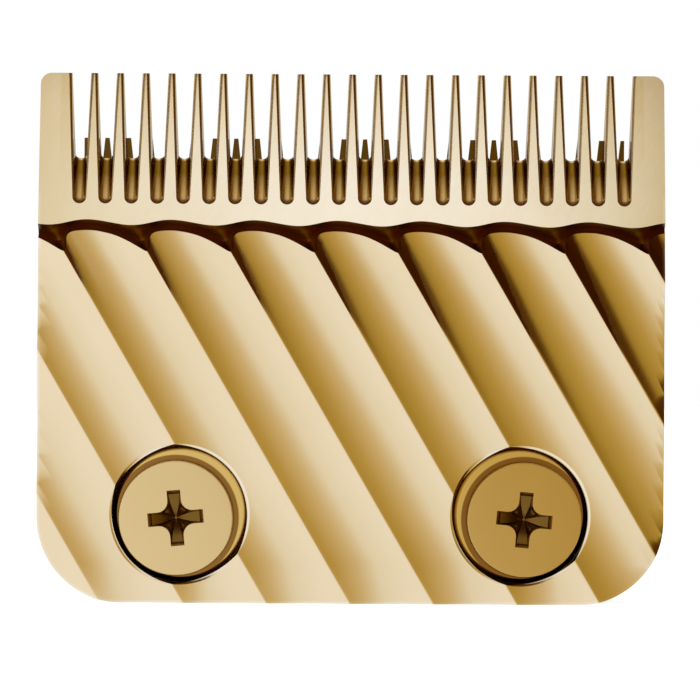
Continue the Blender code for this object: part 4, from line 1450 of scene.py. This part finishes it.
@dataclass
class CutterGuide:
    """The moulded guide on the cutter: plate, lip for the spring arms and drive boss."""

    plate: float = 1.6 * MM
    plate_high: float = 29.6 * MM
    lip_low: float = 28.6 * MM
    lip: float = 0.7 * MM
    boss_half: float = 4.6 * MM
    slot_half: float = 2.2 * MM
    slot_z: tuple[float, float] = (24.3 * MM, 29.3 * MM)
    slot_floor: float = 0.1 * MM
    screw_half: float = 7.4 * MM
    screw_z: float = 26.2 * MM
    bore: float = 1.15 * MM

    def build(self) -> Object:
        """Model the guide.

        Returns:
            The finished piece.
        """
        low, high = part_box("cutter_guide")
        middle = (low.x + high.x) / 2
        half = (high.x - low.x) / 2
        rear = low.y + self.plate
        outline = rounded(half, low.z, self.plate_high, 0.9 * MM, 0.9 * MM, 6)
        piece = Bench.plate("cutter_guide_moulded", [(middle + x, z) for x, z in outline], (low.y, rear))
        lip = rounded(half, self.lip_low, self.plate_high, 0.3 * MM, 0.49 * MM, 4)
        points = [(middle + x, z) for x, z in lip]
        Bench.boolean(piece, Bench.plate("lip", points, (rear - 0.3 * MM, rear + self.lip)), "UNION")
        boss = [(middle + x, z) for x, z in rounded(self.boss_half, low.z, high.z, 0.8 * MM, 0.8 * MM, 8)]
        Bench.boolean(piece, Bench.plate("boss", boss, (low.y, high.y)), "UNION")
        Bench.boolean(piece, self.gussets(middle, rear), "UNION")
        slot = [(middle + x, z) for x, z in rounded(self.slot_half, *self.slot_z, 0.5 * MM, 0.5 * MM, 6)]
        Bench.boolean(piece, Bench.plate("slot", slot, (self.slot_floor, high.y + 1.0 * MM)))
        for _, side in SIDES:
            at = (middle + side * self.screw_half, self.screw_z)
            Bench.boolean(
                piece,
                Bench.cone("bore", (self.bore, self.bore), (low.y - 0.5 * MM, rear + 0.5 * MM), at, 40)
            )
        Bench.soften(piece, 0.14 * MM, 3, 40.0)
        Bench.smooth(piece, 35.0)
        return present(piece, GUIDE_BLACK, Body.CUTTER, "cutter_guide")

    def gussets(self, middle: float, rear: float) -> Object:
        """Return two ribs along the top edge of the plate, from the boss to its ends.

        Args:
            middle: X of the middle.
            rear: Y of the rear face.

        Returns:
            Two ribs along the top edge of the plate.
        """
        outline = [
            (rear - 0.2 * MM, 27.9 * MM), (rear + 0.12 * MM, 28.2 * MM), (rear + 0.12 * MM, 28.8 * MM),
            (rear - 0.2 * MM, 28.8 * MM)
        ]
        tool = Bench.side_plate("rib", outline, (5.2 * MM, 9.2 * MM))
        return Bench.copies(tool, [(middle, 0, 0), (middle - 14.4 * MM, 0, 0)])


@dataclass
class GuideScrews:
    """The two pan-head screws that hold the guide to the cutter."""

    head: float = 1.8 * MM
    head_height: float = 0.9 * MM
    radius: float = 1.0 * MM

    def build(self) -> None:
        """Model both screws."""
        for label, _ in SIDES:
            node = f"guide_screw_{label}"
            low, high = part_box(node)
            at = ((low.x + high.x) / 2, (low.z + high.z) / 2)
            under = high.y - self.head_height
            dome = [
                (self.head * math.cos(a), under + 0.35 * MM + 0.55 * MM * math.sin(a))
                for a in (0.0, 0.3, 0.6, 0.9, 1.2)
            ]
            profile = [
                (0.0, low.y), (self.radius, low.y), (self.radius, under), (self.head, under), *dome,
                (0.0, high.y)
            ]
            piece = Bench.turned(f"{node}_turned", profile, at, 48)
            Cross(1.9 * MM, 0.42 * MM, 0.45 * MM, 0.25 * MM, 0.5).cut(piece, at, high.y, -1.0)
            Bench.smooth(piece, 30.0)
            present(piece, PIN_BRIGHT, Body.CUTTER, node)


@dataclass
class CarrierFrame:
    """The moulded frame: rounded plate with a channel, insert bores and grip ribs."""

    radius_low: float = 5.6 * MM
    radius_high: float = 1.0 * MM
    channel_half: float = 8.5 * MM
    channel_low: float = 1.5 * MM
    channel_front: float = -1.4 * MM
    bore: float = 3.25 * MM
    bore_depth: float = 5.75 * MM
    thread: float = 1.25 * MM
    grip_count: int = 6

    def build(self) -> Object:
        """Model the frame.

        Returns:
            The finished piece.
        """
        low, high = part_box("carrier_frame")
        over = 1.0 * MM
        outline = rounded(high.x, low.z, high.z, self.radius_low, self.radius_high, 12)
        piece = Bench.plate("carrier_frame_moulded", outline, (low.y, high.y))
        Bench.bevel(piece, lambda edge: self.rear_rim(edge, high), 0.35 * MM, 3)
        channel = rounded(self.channel_half, self.channel_low, high.z + over, 0.4 * MM, 0.1 * MM, 5)
        Bench.boolean(piece, Bench.plate("channel", channel, (self.channel_front, high.y + over)))
        for label, side in SIDES:
            insert_low, insert_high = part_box(f"threaded_insert_{label}")
            at = (side * abs(insert_low.x + insert_high.x) / 2, (insert_low.z + insert_high.z) / 2)
            Bench.boolean(
                piece,
                Bench.cone(
                    "bore", (self.bore, self.bore), (low.y - over, low.y + self.bore_depth), at, 64
                )
            )
            screw_low, screw_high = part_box(f"cover_screw_{label}")
            at = ((screw_low.x + screw_high.x) / 2, (screw_low.z + screw_high.z) / 2)
            span = (screw_low.y - 0.3 * MM, high.y + over)
            Bench.boolean(piece, Bench.cone("thread", (self.thread, self.thread), span, at, 40))
            Bench.boolean(piece, self.grips(side, low, high))
        Bench.soften(piece, 0.10 * MM, 2, 50.0)
        Bench.smooth(piece, 32.0)
        return present(piece, FRAME_BLACK, Body.HEAD, "carrier_frame")

    def rear_rim(self, edge: Any, high: Vector) -> bool:
        """Say whether an edge is on the rim of the rear face."""
        return all(vert.co.y > high.y - 0.01 * MM for vert in edge.verts)

    def grips(self, side: float, low: Vector, high: Vector) -> Object:
        """Return the solids that cut shallow finger grooves into one flank.

        Args:
            side: -1 for the left one, 1 for the right one.
            low: The lowest corner.
            high: The highest corner.

        Returns:
            The solids that cut shallow finger grooves into one flank.
        """
        centre = side * (high.x + 0.28 * MM)
        points = [
            (centre + 0.55 * MM * math.cos(a), 0.55 * MM * math.sin(a))
            for a in (math.tau * i / 20 for i in range(20))
        ]
        groove = Bench.plate("groove", points, (low.y + 1.6 * MM, high.y - 1.6 * MM))
        return Bench.copies(groove, [(0, 0, (7.2 + 1.6 * i) * MM) for i in range(self.grip_count)])


@dataclass
class RearCover:
    """The brushed plate that closes the channel, with the slot for the taper pin."""

    radius_low: float = 4.4 * MM
    radius_high: float = 1.5 * MM
    slot_half: float = 1.9 * MM
    slot_z: tuple[float, float] = (4.6 * MM, 12.4 * MM)
    panel_depth: float = 0.18 * MM
    mark_count: int = 5
    neck: float = 1.25 * MM
    head: float = 2.25 * MM
    sink: float = 1.05 * MM

    def build(self) -> Object:
        """Model the cover.

        Returns:
            The finished piece.
        """
        low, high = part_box("rear_cover")
        over = 0.5 * MM
        outline = rounded(high.x, low.z, high.z, self.radius_low, self.radius_high, 12)
        piece = Bench.plate("rear_cover_pressed", outline, (low.y, high.y))
        Bench.bevel(
            piece, lambda edge: all(vert.co.y > high.y - 0.01 * MM for vert in edge.verts), 0.22 * MM, 3
        )
        low_z, high_z = self.slot_z
        slot = rounded(self.slot_half, low_z, high_z, self.slot_half * 0.999, self.slot_half * 0.999, 12)
        Bench.boolean(piece, Bench.plate("slot", slot, (low.y - over, high.y + over)))
        rim = rounded(
            self.slot_half + 0.7 * MM, low_z - 0.7 * MM, high_z + 0.7 * MM, 2.5 * MM, 2.5 * MM, 12
        )
        Bench.boolean(piece, Bench.plate("rim", rim, (high.y - self.panel_depth, high.y + over)))
        for _, side in SIDES:
            Bench.boolean(piece, self.marks(side, high))
        for label, _ in SIDES:
            screw_low, screw_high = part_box(f"cover_screw_{label}")
            at = ((screw_low.x + screw_high.x) / 2, (screw_low.z + screw_high.z) / 2)
            Bench.boolean(piece, Bench.cone("neck", (self.neck, self.neck), (low.y - over, high.y), at, 48))
            Bench.boolean(
                piece,
                Bench.cone(
                    "sink", (self.neck, self.head), (high.y - self.sink, high.y + 0.001 * MM), at, 48
                )
            )
        Bench.soften(piece, 0.05 * MM, 2, 40.0)
        Bench.smooth(piece, 30.0)
        return present(piece, COVER_BRUSHED, Body.HEAD, "rear_cover")

    def marks(self, side: float, high: Vector) -> Object:
        """Return the solids that engrave one row of taper marks beside the slot.

        Args:
            side: -1 for the left one, 1 for the right one.
            high: The highest corner.

        Returns:
            The solids that engrave one row of taper marks beside the slot.
        """
        outer, inner = side * 4.9 * MM, side * 3.4 * MM
        low = (min(outer, inner), high.y - 0.15 * MM, -0.12 * MM)
        block = Bench.block("mark", low, (max(outer, inner), high.y + 0.5 * MM, 0.12 * MM))
        first = 6.5 * MM
        return Bench.copies(block, [(0, 0, first + i * 1.0 * MM) for i in range(self.mark_count)])


@dataclass
class CoverScrews:
    """The two countersunk screws of the rear cover."""

    radius: float = 1.1 * MM
    head: float = 2.1 * MM
    head_height: float = 0.85 * MM
    thread_pitch: float = 0.5 * MM

    def build(self) -> None:
        """Model both screws."""
        for label, side in SIDES:
            node = f"cover_screw_{label}"
            low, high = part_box(node)
            at = ((low.x + high.x) / 2, (low.z + high.z) / 2)
            profile = [(0.0, low.y), (self.radius * 0.6, low.y), (self.radius, low.y + 0.4 * MM)]
            y = low.y + 0.8 * MM
            while y < high.y - self.head_height - 0.5 * MM:
                profile += [(self.radius, y), (self.radius * 0.85, y + self.thread_pitch / 2)]
                y += self.thread_pitch
            profile += [(self.radius, high.y - self.head_height), (self.head, high.y - 0.06 * MM)]
            profile += [(self.head - 0.08 * MM, high.y), (0.0, high.y)]
            piece = Bench.turned(f"{node}_turned", profile, at, 64)
            Cross(2.2 * MM, 0.5 * MM, 0.45 * MM, 0.3 * MM, 0.35 * side).cut(piece, at, high.y, -1.0)
            Bench.smooth(piece, 30.0)
            present(piece, PIN_BRIGHT, Body.HEAD, node)


@dataclass
class TaperSlide:
    """The cast slide: stem with two flanges, and a crosshead with ears for the spring pins."""

    stem_half: float = 7.2 * MM
    web: float = 2.0 * MM
    flange_inner: float = 4.9 * MM
    flange_rear: float = 4.3 * MM
    cross_z: tuple[float, float] = (18.4 * MM, 22.6 * MM)
    cross_y: tuple[float, float] = (-0.6 * MM, 1.1 * MM)
    ears: tuple[float, float] = (8.2 * MM, 13.8 * MM)
    ear_thickness: float = 1.3 * MM
    pin_bore: float = 1.05 * MM
    axis_y: float = 3.45 * MM
    axis_z: float = 20.6 * MM
    hole: float = 1.55 * MM

    def build(self) -> Object:
        """Model the slide.

        Returns:
            The finished piece.
        """
        low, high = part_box("taper_slide")
        web_rear = low.y + self.web
        top = self.cross_z[0]
        stem = rounded(self.stem_half, low.z, top + 0.3 * MM, 0.8 * MM, 0.1 * MM, 6)
        piece = Bench.plate("taper_slide_cast", stem, (low.y, web_rear))
        for _, side in SIDES:
            a, b = sorted((side * self.flange_inner, side * self.stem_half))
            flange = Bench.block(
                "flange", (a, web_rear - 0.3 * MM, low.z + 0.2 * MM),
                (b, self.flange_rear, top - 0.3 * MM)
            )
            Bench.boolean(piece, flange, "UNION")
        cross = rounded(high.x, self.cross_z[0], self.cross_z[1], 0.8 * MM, 0.8 * MM, 6)
        Bench.boolean(piece, Bench.plate("crosshead", cross, self.cross_y), "UNION")
        for _, side in SIDES:
            for inner in self.ears:
                Bench.boolean(piece, self.ear(side, inner, high), "UNION")
        Bench.boolean(piece, self.pocket(low, web_rear))
        for _, side in SIDES:
            Bench.boolean(piece, self.pin_hole(side))
        Bench.boolean(
            piece,
            Bench.cone(
                "hole", (self.hole, self.hole), (low.y - 1 * MM, web_rear + 1 * MM), (0.0, 6.5 * MM), 48
            )
        )
        Bench.soften(piece, 0.16 * MM, 2, 40.0)
        Bench.smooth(piece, 34.0)
        return present(piece, SLIDE_CAST, Body.SLIDE, "taper_slide")

    def ear(self, side: float, inner: float, high: Vector) -> Object:
        """Return one ear, rounded towards the rear.

        Args:
            side: -1 for the left one, 1 for the right one.
            inner: X of its inner face.
            high: The highest corner.

        Returns:
            One ear, rounded towards the rear.
        """
        low_z, high_z = self.cross_z
        radius = 1.3 * MM
        start = self.cross_y[1] - 0.3 * MM
        outline = [(start, low_z)]
        outline += [
            (high.y - radius + radius * math.sin(a), low_z + radius - radius * math.cos(a))
            for a in (0.0, 0.4, 0.8, 1.2, 1.5708)
        ]
        outline += [
            (high.y - radius + radius * math.cos(a), high_z - radius + radius * math.sin(a))
            for a in (0.0, 0.4, 0.8, 1.2, 1.5708)
        ]
        outline.append((start, high_z))
        a, b = sorted((side * inner, side * (inner + self.ear_thickness)))
        return Bench.side_plate("ear", outline, (a, b))

    def pocket(self, low: Vector, web_rear: float) -> Object:
        """Return the solid that hollows the stem between its flanges, above the drive pin."""
        outline = rounded(3.6 * MM, 10.0 * MM, 16.8 * MM, 0.8 * MM, 0.8 * MM, 6)
        return Bench.plate("pocket", outline, (web_rear - 0.30 * MM, web_rear + 1.0 * MM))

    def pin_hole(self, side: float) -> Object:
        """Return the solid that bores both ears of one side.

        Args:
            side: -1 for the left one, 1 for the right one.

        Returns:
            The solid that bores both ears of one side.
        """
        circle = [
            (self.axis_y + self.pin_bore * math.cos(a), self.axis_z + self.pin_bore * math.sin(a))
            for a in (math.tau * i / 32 for i in range(32))
        ]
        a, b = sorted((side * 7.0 * MM, side * 16.2 * MM))
        return Bench.side_plate("pin_hole", circle, (a, b))


@dataclass
class SlidePins:
    """The drive pin that the taper lever moves, and the two headed spring pins."""

    collar: float = 2.1 * MM
    collar_height: float = 0.8 * MM
    radius: float = 1.4 * MM
    chamfer: float = 0.3 * MM
    collar_front: float = 1.05 * MM

    def build(self) -> None:
        """Model the three pins."""
        low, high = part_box("slide_drive_pin")
        at = ((low.x + high.x) / 2, (low.z + high.z) / 2)
        rear = self.collar_front + self.collar_height
        profile = [
            (0.0, low.y), (self.radius, low.y), (self.radius, self.collar_front),
            (self.collar - 0.1 * MM, self.collar_front)
        ]
        profile += [
            (self.collar, self.collar_front + 0.1 * MM), (self.collar, rear - 0.15 * MM),
            (self.collar - 0.15 * MM, rear)
        ]
        profile += [
            (self.radius + 0.1 * MM, rear), (self.radius, rear + 0.1 * MM),
            (self.radius, high.y - self.chamfer)
        ]
        profile += [
            (self.radius - self.chamfer * 0.6, high.y - 0.08 * MM), (self.radius - self.chamfer, high.y)
        ]
        profile += [(0.35 * MM, high.y), (0.0, high.y - 0.25 * MM)]
        piece = Bench.turned("slide_drive_pin_turned", profile, at, 64)
        Bench.smooth(piece, 32.0)
        present(piece, PIN_BRIGHT, Body.SLIDE, "slide_drive_pin")
        for label, side in SIDES:
            self.spring_pin(label, side)

    def spring_pin(self, label: str, side: float) -> None:
        """Model one spring pin: a profile turned along Y, then laid along X.

        Args:
            label: left or right.
            side: -1 for the left one, 1 for the right one.
        """
        node = f"spring_pin_{label}"
        low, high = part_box(node)
        head = (high.z - low.z) / 2
        length = high.x - low.x
        shaft = 0.9 * MM
        profile = [
            (0.0, 0.0), (shaft - 0.2 * MM, 0.0), (shaft, 0.2 * MM), (shaft, length - 0.7 * MM),
            (head, length - 0.7 * MM), (head, length - 0.3 * MM), (head * 0.8, length - 0.08 * MM),
            (head * 0.5, length), (0.0, length),
        ]
        piece = Bench.turned(f"{node}_turned", profile, (0.0, 0.0), 48)
        start = low.x if side > 0 else high.x
        Bench.only(piece)
        bpy.ops.object.mode_set(mode="EDIT")
        bpy.ops.mesh.select_all(action="SELECT")
        bpy.ops.transform.rotate(value=side * math.pi / 2, orient_axis="Z", center_override=(0, 0, 0))
        bpy.ops.object.mode_set(mode="OBJECT")
        middle = Vector((0.0, (low.y + high.y) / 2, (low.z + high.z) / 2))
        reach = sum(vert.co.x for vert in piece.data.vertices)
        flip = reach * side < 0
        for vert in piece.data.vertices:
            along = -vert.co.x if flip else vert.co.x
            across = -vert.co.y if flip else vert.co.y
            vert.co = Vector((start + along, across, vert.co.z)) + middle
        Bench.smooth(piece, 32.0)
        present(piece, PIN_BRIGHT, Body.SLIDE, node)


@dataclass
class TensionSprings:
    """The two round-wire springs: short leg, three turns and a long hooked arm."""

    wire: float = 0.9 * MM
    coil_radius: float = 1.75 * MM
    turns: int = 3
    turn_points: int = 36
    lead: float = 1.0 * MM
    start: float = 10.15 * MM
    axis_y: float = 3.45 * MM
    axis_z: float = 20.6 * MM
    leg_low: float = 18.7 * MM
    arm_top: float = 27.4 * MM
    contact_y: float = 1.30 * MM
    hook: float = 1.0 * MM
    tail: float = 2.4 * MM

    def route(self, side: float) -> list[Vector]:
        """Return the middle line of one spring's wire.

        Args:
            side: -1 for the left one, 1 for the right one.

        Returns:
            The middle line of one spring's wire.
        """
        front = self.axis_y - self.coil_radius
        start = side * self.start
        points = [Vector((start, front - 0.02 * MM, self.leg_low))]
        for i in range(self.turns * self.turn_points + 1):
            turn = i / self.turn_points
            angle = math.pi - math.tau * turn
            points.append(Vector((
                start + side * self.lead * turn,
                self.axis_y + self.coil_radius * math.cos(angle),
                self.axis_z + self.coil_radius * math.sin(angle),
            )))
        end = points[-1].x
        points.append(Vector((end, front, self.axis_z + 1.4 * MM)))
        points.append(Vector((end, self.contact_y, self.arm_top - self.hook)))
        for i in range(1, 10):
            angle = math.radians(10 * i)
            x = end - side * self.hook * (1 - math.cos(angle))
            points.append(
                Vector((x, self.contact_y, self.arm_top - self.hook + self.hook * math.sin(angle)))
            )
        points.append(Vector((end - side * self.tail, self.contact_y, self.arm_top)))
        return points

    def build(self) -> None:
        """Model both springs as wire drawn along the route."""
        for label, side in SIDES:
            node = f"tension_spring_{label}"
            points = self.route(side)
            curve = bpy.data.curves.new(f"{node}_wire", "CURVE")
            curve.dimensions = "3D"
            curve.bevel_depth = self.wire / 2
            curve.bevel_resolution = 4
            curve.use_fill_caps = True
            spline = curve.splines.new("POLY")
            spline.points.add(len(points) - 1)
            for point, place in zip(spline.points, points):
                point.co = (*place, 1.0)
            piece = bpy.data.objects.new(f"{node}_wire", curve)
            bpy.context.collection.objects.link(piece)
            Bench.only(piece)
            bpy.ops.object.convert(target="MESH")
            piece = bpy.context.object
            Bench.smooth(piece, 45.0)
            present(piece, WIRE_BRIGHT, Body.SLIDE, node)


@dataclass
class FrictionLeaf:
    """The bowed leaf that holds the taper slide where it is set."""

    thickness: float = 0.35 * MM
    steps: int = 28

    def build(self) -> Object:
        """Model the leaf.

        Returns:
            The finished piece.
        """
        low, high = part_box("slide_friction_leaf")
        bow = high.y - low.y - self.thickness
        rear = []
        for i in range(self.steps + 1):
            along = i / self.steps
            rear.append((high.y - bow * math.sin(math.pi * along) ** 2, low.z + along * (high.z - low.z)))
        front = [(y - self.thickness, z) for y, z in reversed(rear)]
        piece = Bench.side_plate("slide_friction_leaf_sprung", rear + front, (low.x, high.x))
        Bench.soften(piece, 0.06 * MM, 2, 60.0)
        Bench.smooth(piece, 35.0)
        return present(piece, WIRE_BRIGHT, Body.HEAD, "slide_friction_leaf")


@dataclass
class SlideRails:
    """The two wear rails of the channel."""

    def build(self) -> None:
        """Model both rails with rounded edges and an oil groove."""
        for label, side in SIDES:
            node = f"slide_rail_{label}"
            low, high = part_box(node)
            piece = Bench.block(f"{node}_ground", low, high)
            inner = low.x if side > 0 else high.x
            middle = (low.y + high.y) / 2
            groove_low = (inner - 0.12 * MM, middle - 0.4 * MM, low.z + 1.5 * MM)
            groove = Bench.block(
                "groove", groove_low, (inner + 0.12 * MM, middle + 0.4 * MM, high.z - 1.5 * MM)
            )
            Bench.boolean(piece, groove)
            Bench.soften(piece, 0.10 * MM, 2, 50.0)
            Bench.smooth(piece, 32.0)
            present(piece, PIN_BRIGHT, Body.HEAD, node)


@dataclass
class ThreadedInserts:
    """The brass sleeves that the blade screws run into."""

    bore: float = 2.1 * MM
    band: float = 0.25 * MM

    def build(self) -> None:
        """Model both inserts with a groove between two bands."""
        for label, _ in SIDES:
            node = f"threaded_insert_{label}"
            low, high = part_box(node)
            outer = (high.x - low.x) / 2
            at = ((low.x + high.x) / 2, (low.z + high.z) / 2)
            profile = [
                (self.bore, low.y), (outer - 0.1 * MM, low.y), (outer, low.y + 0.1 * MM),
                (outer, low.y + 2.2 * MM)
            ]
            profile += [
                (outer - self.band, low.y + 2.5 * MM), (outer - self.band, low.y + 3.3 * MM),
                (outer, low.y + 3.6 * MM)
            ]
            profile += [
                (outer, high.y - 0.1 * MM), (outer - 0.1 * MM, high.y), (self.bore, high.y),
                (self.bore, low.y)
            ]
            piece = Bench.turned(f"{node}_turned", profile, at, 96)
            Bench.smooth(piece, 32.0)
            present(piece, INSERT_BRASS, Body.HEAD, node)


@dataclass
class Studio:
    """White surroundings, a pale floor, soft light and the camera straight on to the blade."""

    distance: float = 350.0 * MM
    field: float = 51.44 * MM
    look_x: float = -0.07 * MM
    look_z: float = 18.61 * MM
    roll: float = math.radians(0.35)
    card_distance: float = 100.0 * MM
    card_half: float = 400.0 * MM

    def camera(self) -> None:
        """Add the camera, square to the blade's skin face."""
        data = bpy.data.cameras.new("camera")
        camera = bpy.data.objects.new("camera", data)
        bpy.context.scene.collection.objects.link(camera)
        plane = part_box("fixed_blade")[0].y + 1.0 * MM
        data.sensor_width = 36.0
        data.lens = data.sensor_width * self.distance / self.field
        data.clip_start = 10.0 * MM
        data.clip_end = 20.0
        turn = Matrix.Rotation(math.pi / 2, 4, "X") @ Matrix.Rotation(self.roll, 4, "Z")
        camera.matrix_world = Matrix.Translation((self.look_x, plane - self.distance, self.look_z)) @ turn
        bpy.context.scene.camera = camera

    def floor(self) -> None:
        """Add the pale floor."""
        Bench.clear()
        bpy.ops.mesh.primitive_circle_add(vertices=96, radius=1.2, fill_type="NGON", location=(0, 0, 0))
        floor = Bench.settled(bpy.context.object, "floor")
        floor.location = (0, 0, -0.02 * MM)
        paint = bpy.data.materials.new("floor_pale")
        paint.use_nodes = True
        shader = paint.node_tree.nodes["Principled BSDF"]
        shader.inputs["Base Color"].default_value = (0.9, 0.9, 0.9, 1.0)
        shader.inputs["Roughness"].default_value = 0.9
        shader.inputs["Emission Color"].default_value = (1.0, 1.0, 1.0, 1.0)
        shader.inputs["Emission Strength"].default_value = 0.85
        floor.data.materials.append(paint)
        floor.visible_glossy = False

    def card(self) -> None:
        """Add the reflecting card in front: white to the left, gold, then dark to the right."""
        Bench.clear()
        bpy.ops.mesh.primitive_plane_add(size=2 * self.card_half, rotation=(math.pi / 2, 0, 0))
        card = Bench.settled(bpy.context.object, "card")
        card.location = (0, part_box("fixed_blade")[0].y - self.card_distance, 0)
        paint = bpy.data.materials.new("card_paint")
        paint.use_nodes = True
        desk = Desk(paint.node_tree)
        paint.node_tree.nodes.remove(paint.node_tree.nodes["Principled BSDF"])
        split = desk.node("ShaderNodeSeparateXYZ", {}, {"Vector": desk.place()})
        x, z = desk.out(split, "X"), desk.out(split, "Z")
        fac = (x * 0.864 + (z - 18 * MM) * 0.503 + 0.156) * 2.5
        stops = [
            (0.0, (0.96, 0.98, 1.06)), (0.225, (0.93, 0.95, 1.05)), (0.3375, (0.86, 0.86, 0.88)),
            (0.4125, (0.67, 0.55, 0.34)), (0.50, (0.51, 0.36, 0.10)), (0.60, (0.38, 0.25, 0.035)),
            (0.62, (0.067, 0.0185, 0.0005)), (1.0, (0.067, 0.0185, 0.0005)),
        ]
        sweep = desk.out(desk.node("ShaderNodeValToRGB", {"stops": stops}, {"Fac": fac}), "Color")
        lamp = [(0.0, BLACK), (0.16, BLACK), (0.175, WHITE), (0.24, WHITE), (0.26, BLACK), (1.0, BLACK)]
        inside = desk.out(desk.node("ShaderNodeValToRGB", {"stops": lamp}, {"Fac": z * 2.5}), "Color")
        top = [(0.0, BLACK), (0.255, BLACK), (0.27, WHITE), (1.0, WHITE)]
        above = desk.out(desk.node("ShaderNodeValToRGB", {"stops": top}, {"Fac": z * 2.5}), "Color")
        shaded = desk.node(
            "ShaderNodeMix", {"data_type": "RGBA"}, {0: above, 6: sweep, 7: (0.085, 0.03, 0.003, 1.0)}
        )
        off_centre = x * x * (1.0 / (24 * MM) ** 2)
        lamp_colour = desk.blend(off_centre.clamped(), (1.09, 1.21, 1.60), (0.92, 0.97, 1.06))
        near = ((2.0 - off_centre) * 1.5).clamped()
        lit = desk.node(
            "ShaderNodeMix", {"data_type": "RGBA"},
            {0: inside * near, 6: desk.out(shaded, 2), 7: lamp_colour}
        )
        glow = desk.node("ShaderNodeEmission", {}, {"Color": desk.out(lit, 2)})
        out = paint.node_tree.nodes["Material Output"]
        desk.tree.links.new(glow.outputs[0], out.inputs["Surface"])
        card.data.materials.append(paint)
        card.visible_camera = False
        card.visible_shadow = False

    def world(self) -> None:
        """Paint soft surroundings: white above, warm and darker towards the ground."""
        world = bpy.data.worlds.new("light_tent")
        bpy.context.scene.world = world
        world.use_nodes = True
        desk = Desk(world.node_tree)
        background = world.node_tree.nodes["Background"]
        towards = desk.out(desk.node("ShaderNodeTexCoord", {}, {}), "Generated")
        split = desk.node("ShaderNodeSeparateXYZ", {}, {"Vector": towards})
        x, y, z = (desk.out(split, axis) for axis in ("X", "Y", "Z"))
        stops = [
            (0.0, (0.05, 0.02, 0.004)), (0.30, (0.10, 0.05, 0.012)), (0.48, (0.42, 0.32, 0.18)),
            (0.60, (0.80, 0.78, 0.74)), (0.78, (0.45, 0.34, 0.16)), (0.96, (0.34, 0.23, 0.08)),
            (0.99, (1.2, 1.2, 1.2)),
            (1.0, (1.2, 1.2, 1.2)),
        ]
        ramp = desk.node("ShaderNodeValToRGB", {"stops": stops}, {"Fac": z * 0.5 + 0.5})
        sides = [
            (0.0, (1.0, 0.98, 0.94)), (0.45, (0.9, 0.86, 0.8)), (0.75, (0.42, 0.30, 0.16)),
            (1.0, (0.25, 0.15, 0.06))
        ]
        side = desk.out(desk.node("ShaderNodeValToRGB", {"stops": sides}, {"Fac": x * 0.5 + 0.5}), "Color")
        both = desk.node(
            "ShaderNodeMix", {"data_type": "RGBA", "blend_type": "MULTIPLY"},
            {0: 1.0, 6: desk.out(ramp, 0), 7: side}
        )
        seen = desk.out(desk.node("ShaderNodeLightPath", {}, {}), "Is Camera Ray")
        rear = desk.blend(z * 0.5 + 0.5, (0.35, 0.34, 0.33), (1.0, 1.0, 1.0))
        behind = ((y - 0.15) * 2.5).clamped()
        around = desk.node(
            "ShaderNodeMix", {"data_type": "RGBA"}, {0: behind, 6: desk.out(both, 2), 7: rear}
        )
        final = desk.node(
            "ShaderNodeMix", {"data_type": "RGBA"}, {0: seen, 6: desk.out(around, 2), 7: (*WHITE, 1.0)}
        )
        desk.tree.links.new(final.outputs[2], background.inputs["Color"])

    def build(self) -> None:
        """Set up the camera, floor and light."""
        self.camera()
        self.floor()
        self.card()
        self.world()
        bpy.context.scene.view_settings.view_transform = "Standard"


def dress_frame_nodes() -> None:
    """Give each CAD node that stays in view its finish."""
    finishes = {
        "carrier_frame": FRAME_BLACK, "rear_cover": COVER_BRUSHED, "taper_slide": SLIDE_CAST,
        "cutter_guide": GUIDE_BLACK, "cutter_blade": CUTTER_GOLD_SHADED,
        "blade_screw_left": SCREW_GOLD_LIT, "blade_screw_right": SCREW_GOLD_SHADED,
        "fixed_blade": BLADE_GOLD,
        "threaded_insert_left": INSERT_BRASS, "threaded_insert_right": INSERT_BRASS,
        "slide_friction_leaf": WIRE_BRIGHT, "tension_spring_left": WIRE_BRIGHT,
        "tension_spring_right": WIRE_BRIGHT,
    }
    for name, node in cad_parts.items():
        finishes.get(name, PIN_BRIGHT).on(node)


def main() -> None:
    """Build the studio and every piece, in order."""
    logging.basicConfig(level=logging.INFO, format="%(message)s")
    Studio().build()
    dress_frame_nodes()
    pieces = (
        FixedBlade, BladeScrews, CutterBlade, CutterGuide, GuideScrews, CarrierFrame, RearCover,
        CoverScrews
    )
    hidden = (TaperSlide, SlidePins, TensionSprings, FrictionLeaf, SlideRails, ThreadedInserts)
    for maker in pieces + hidden:
        maker().build()


if __name__ == "__main__":
    main()
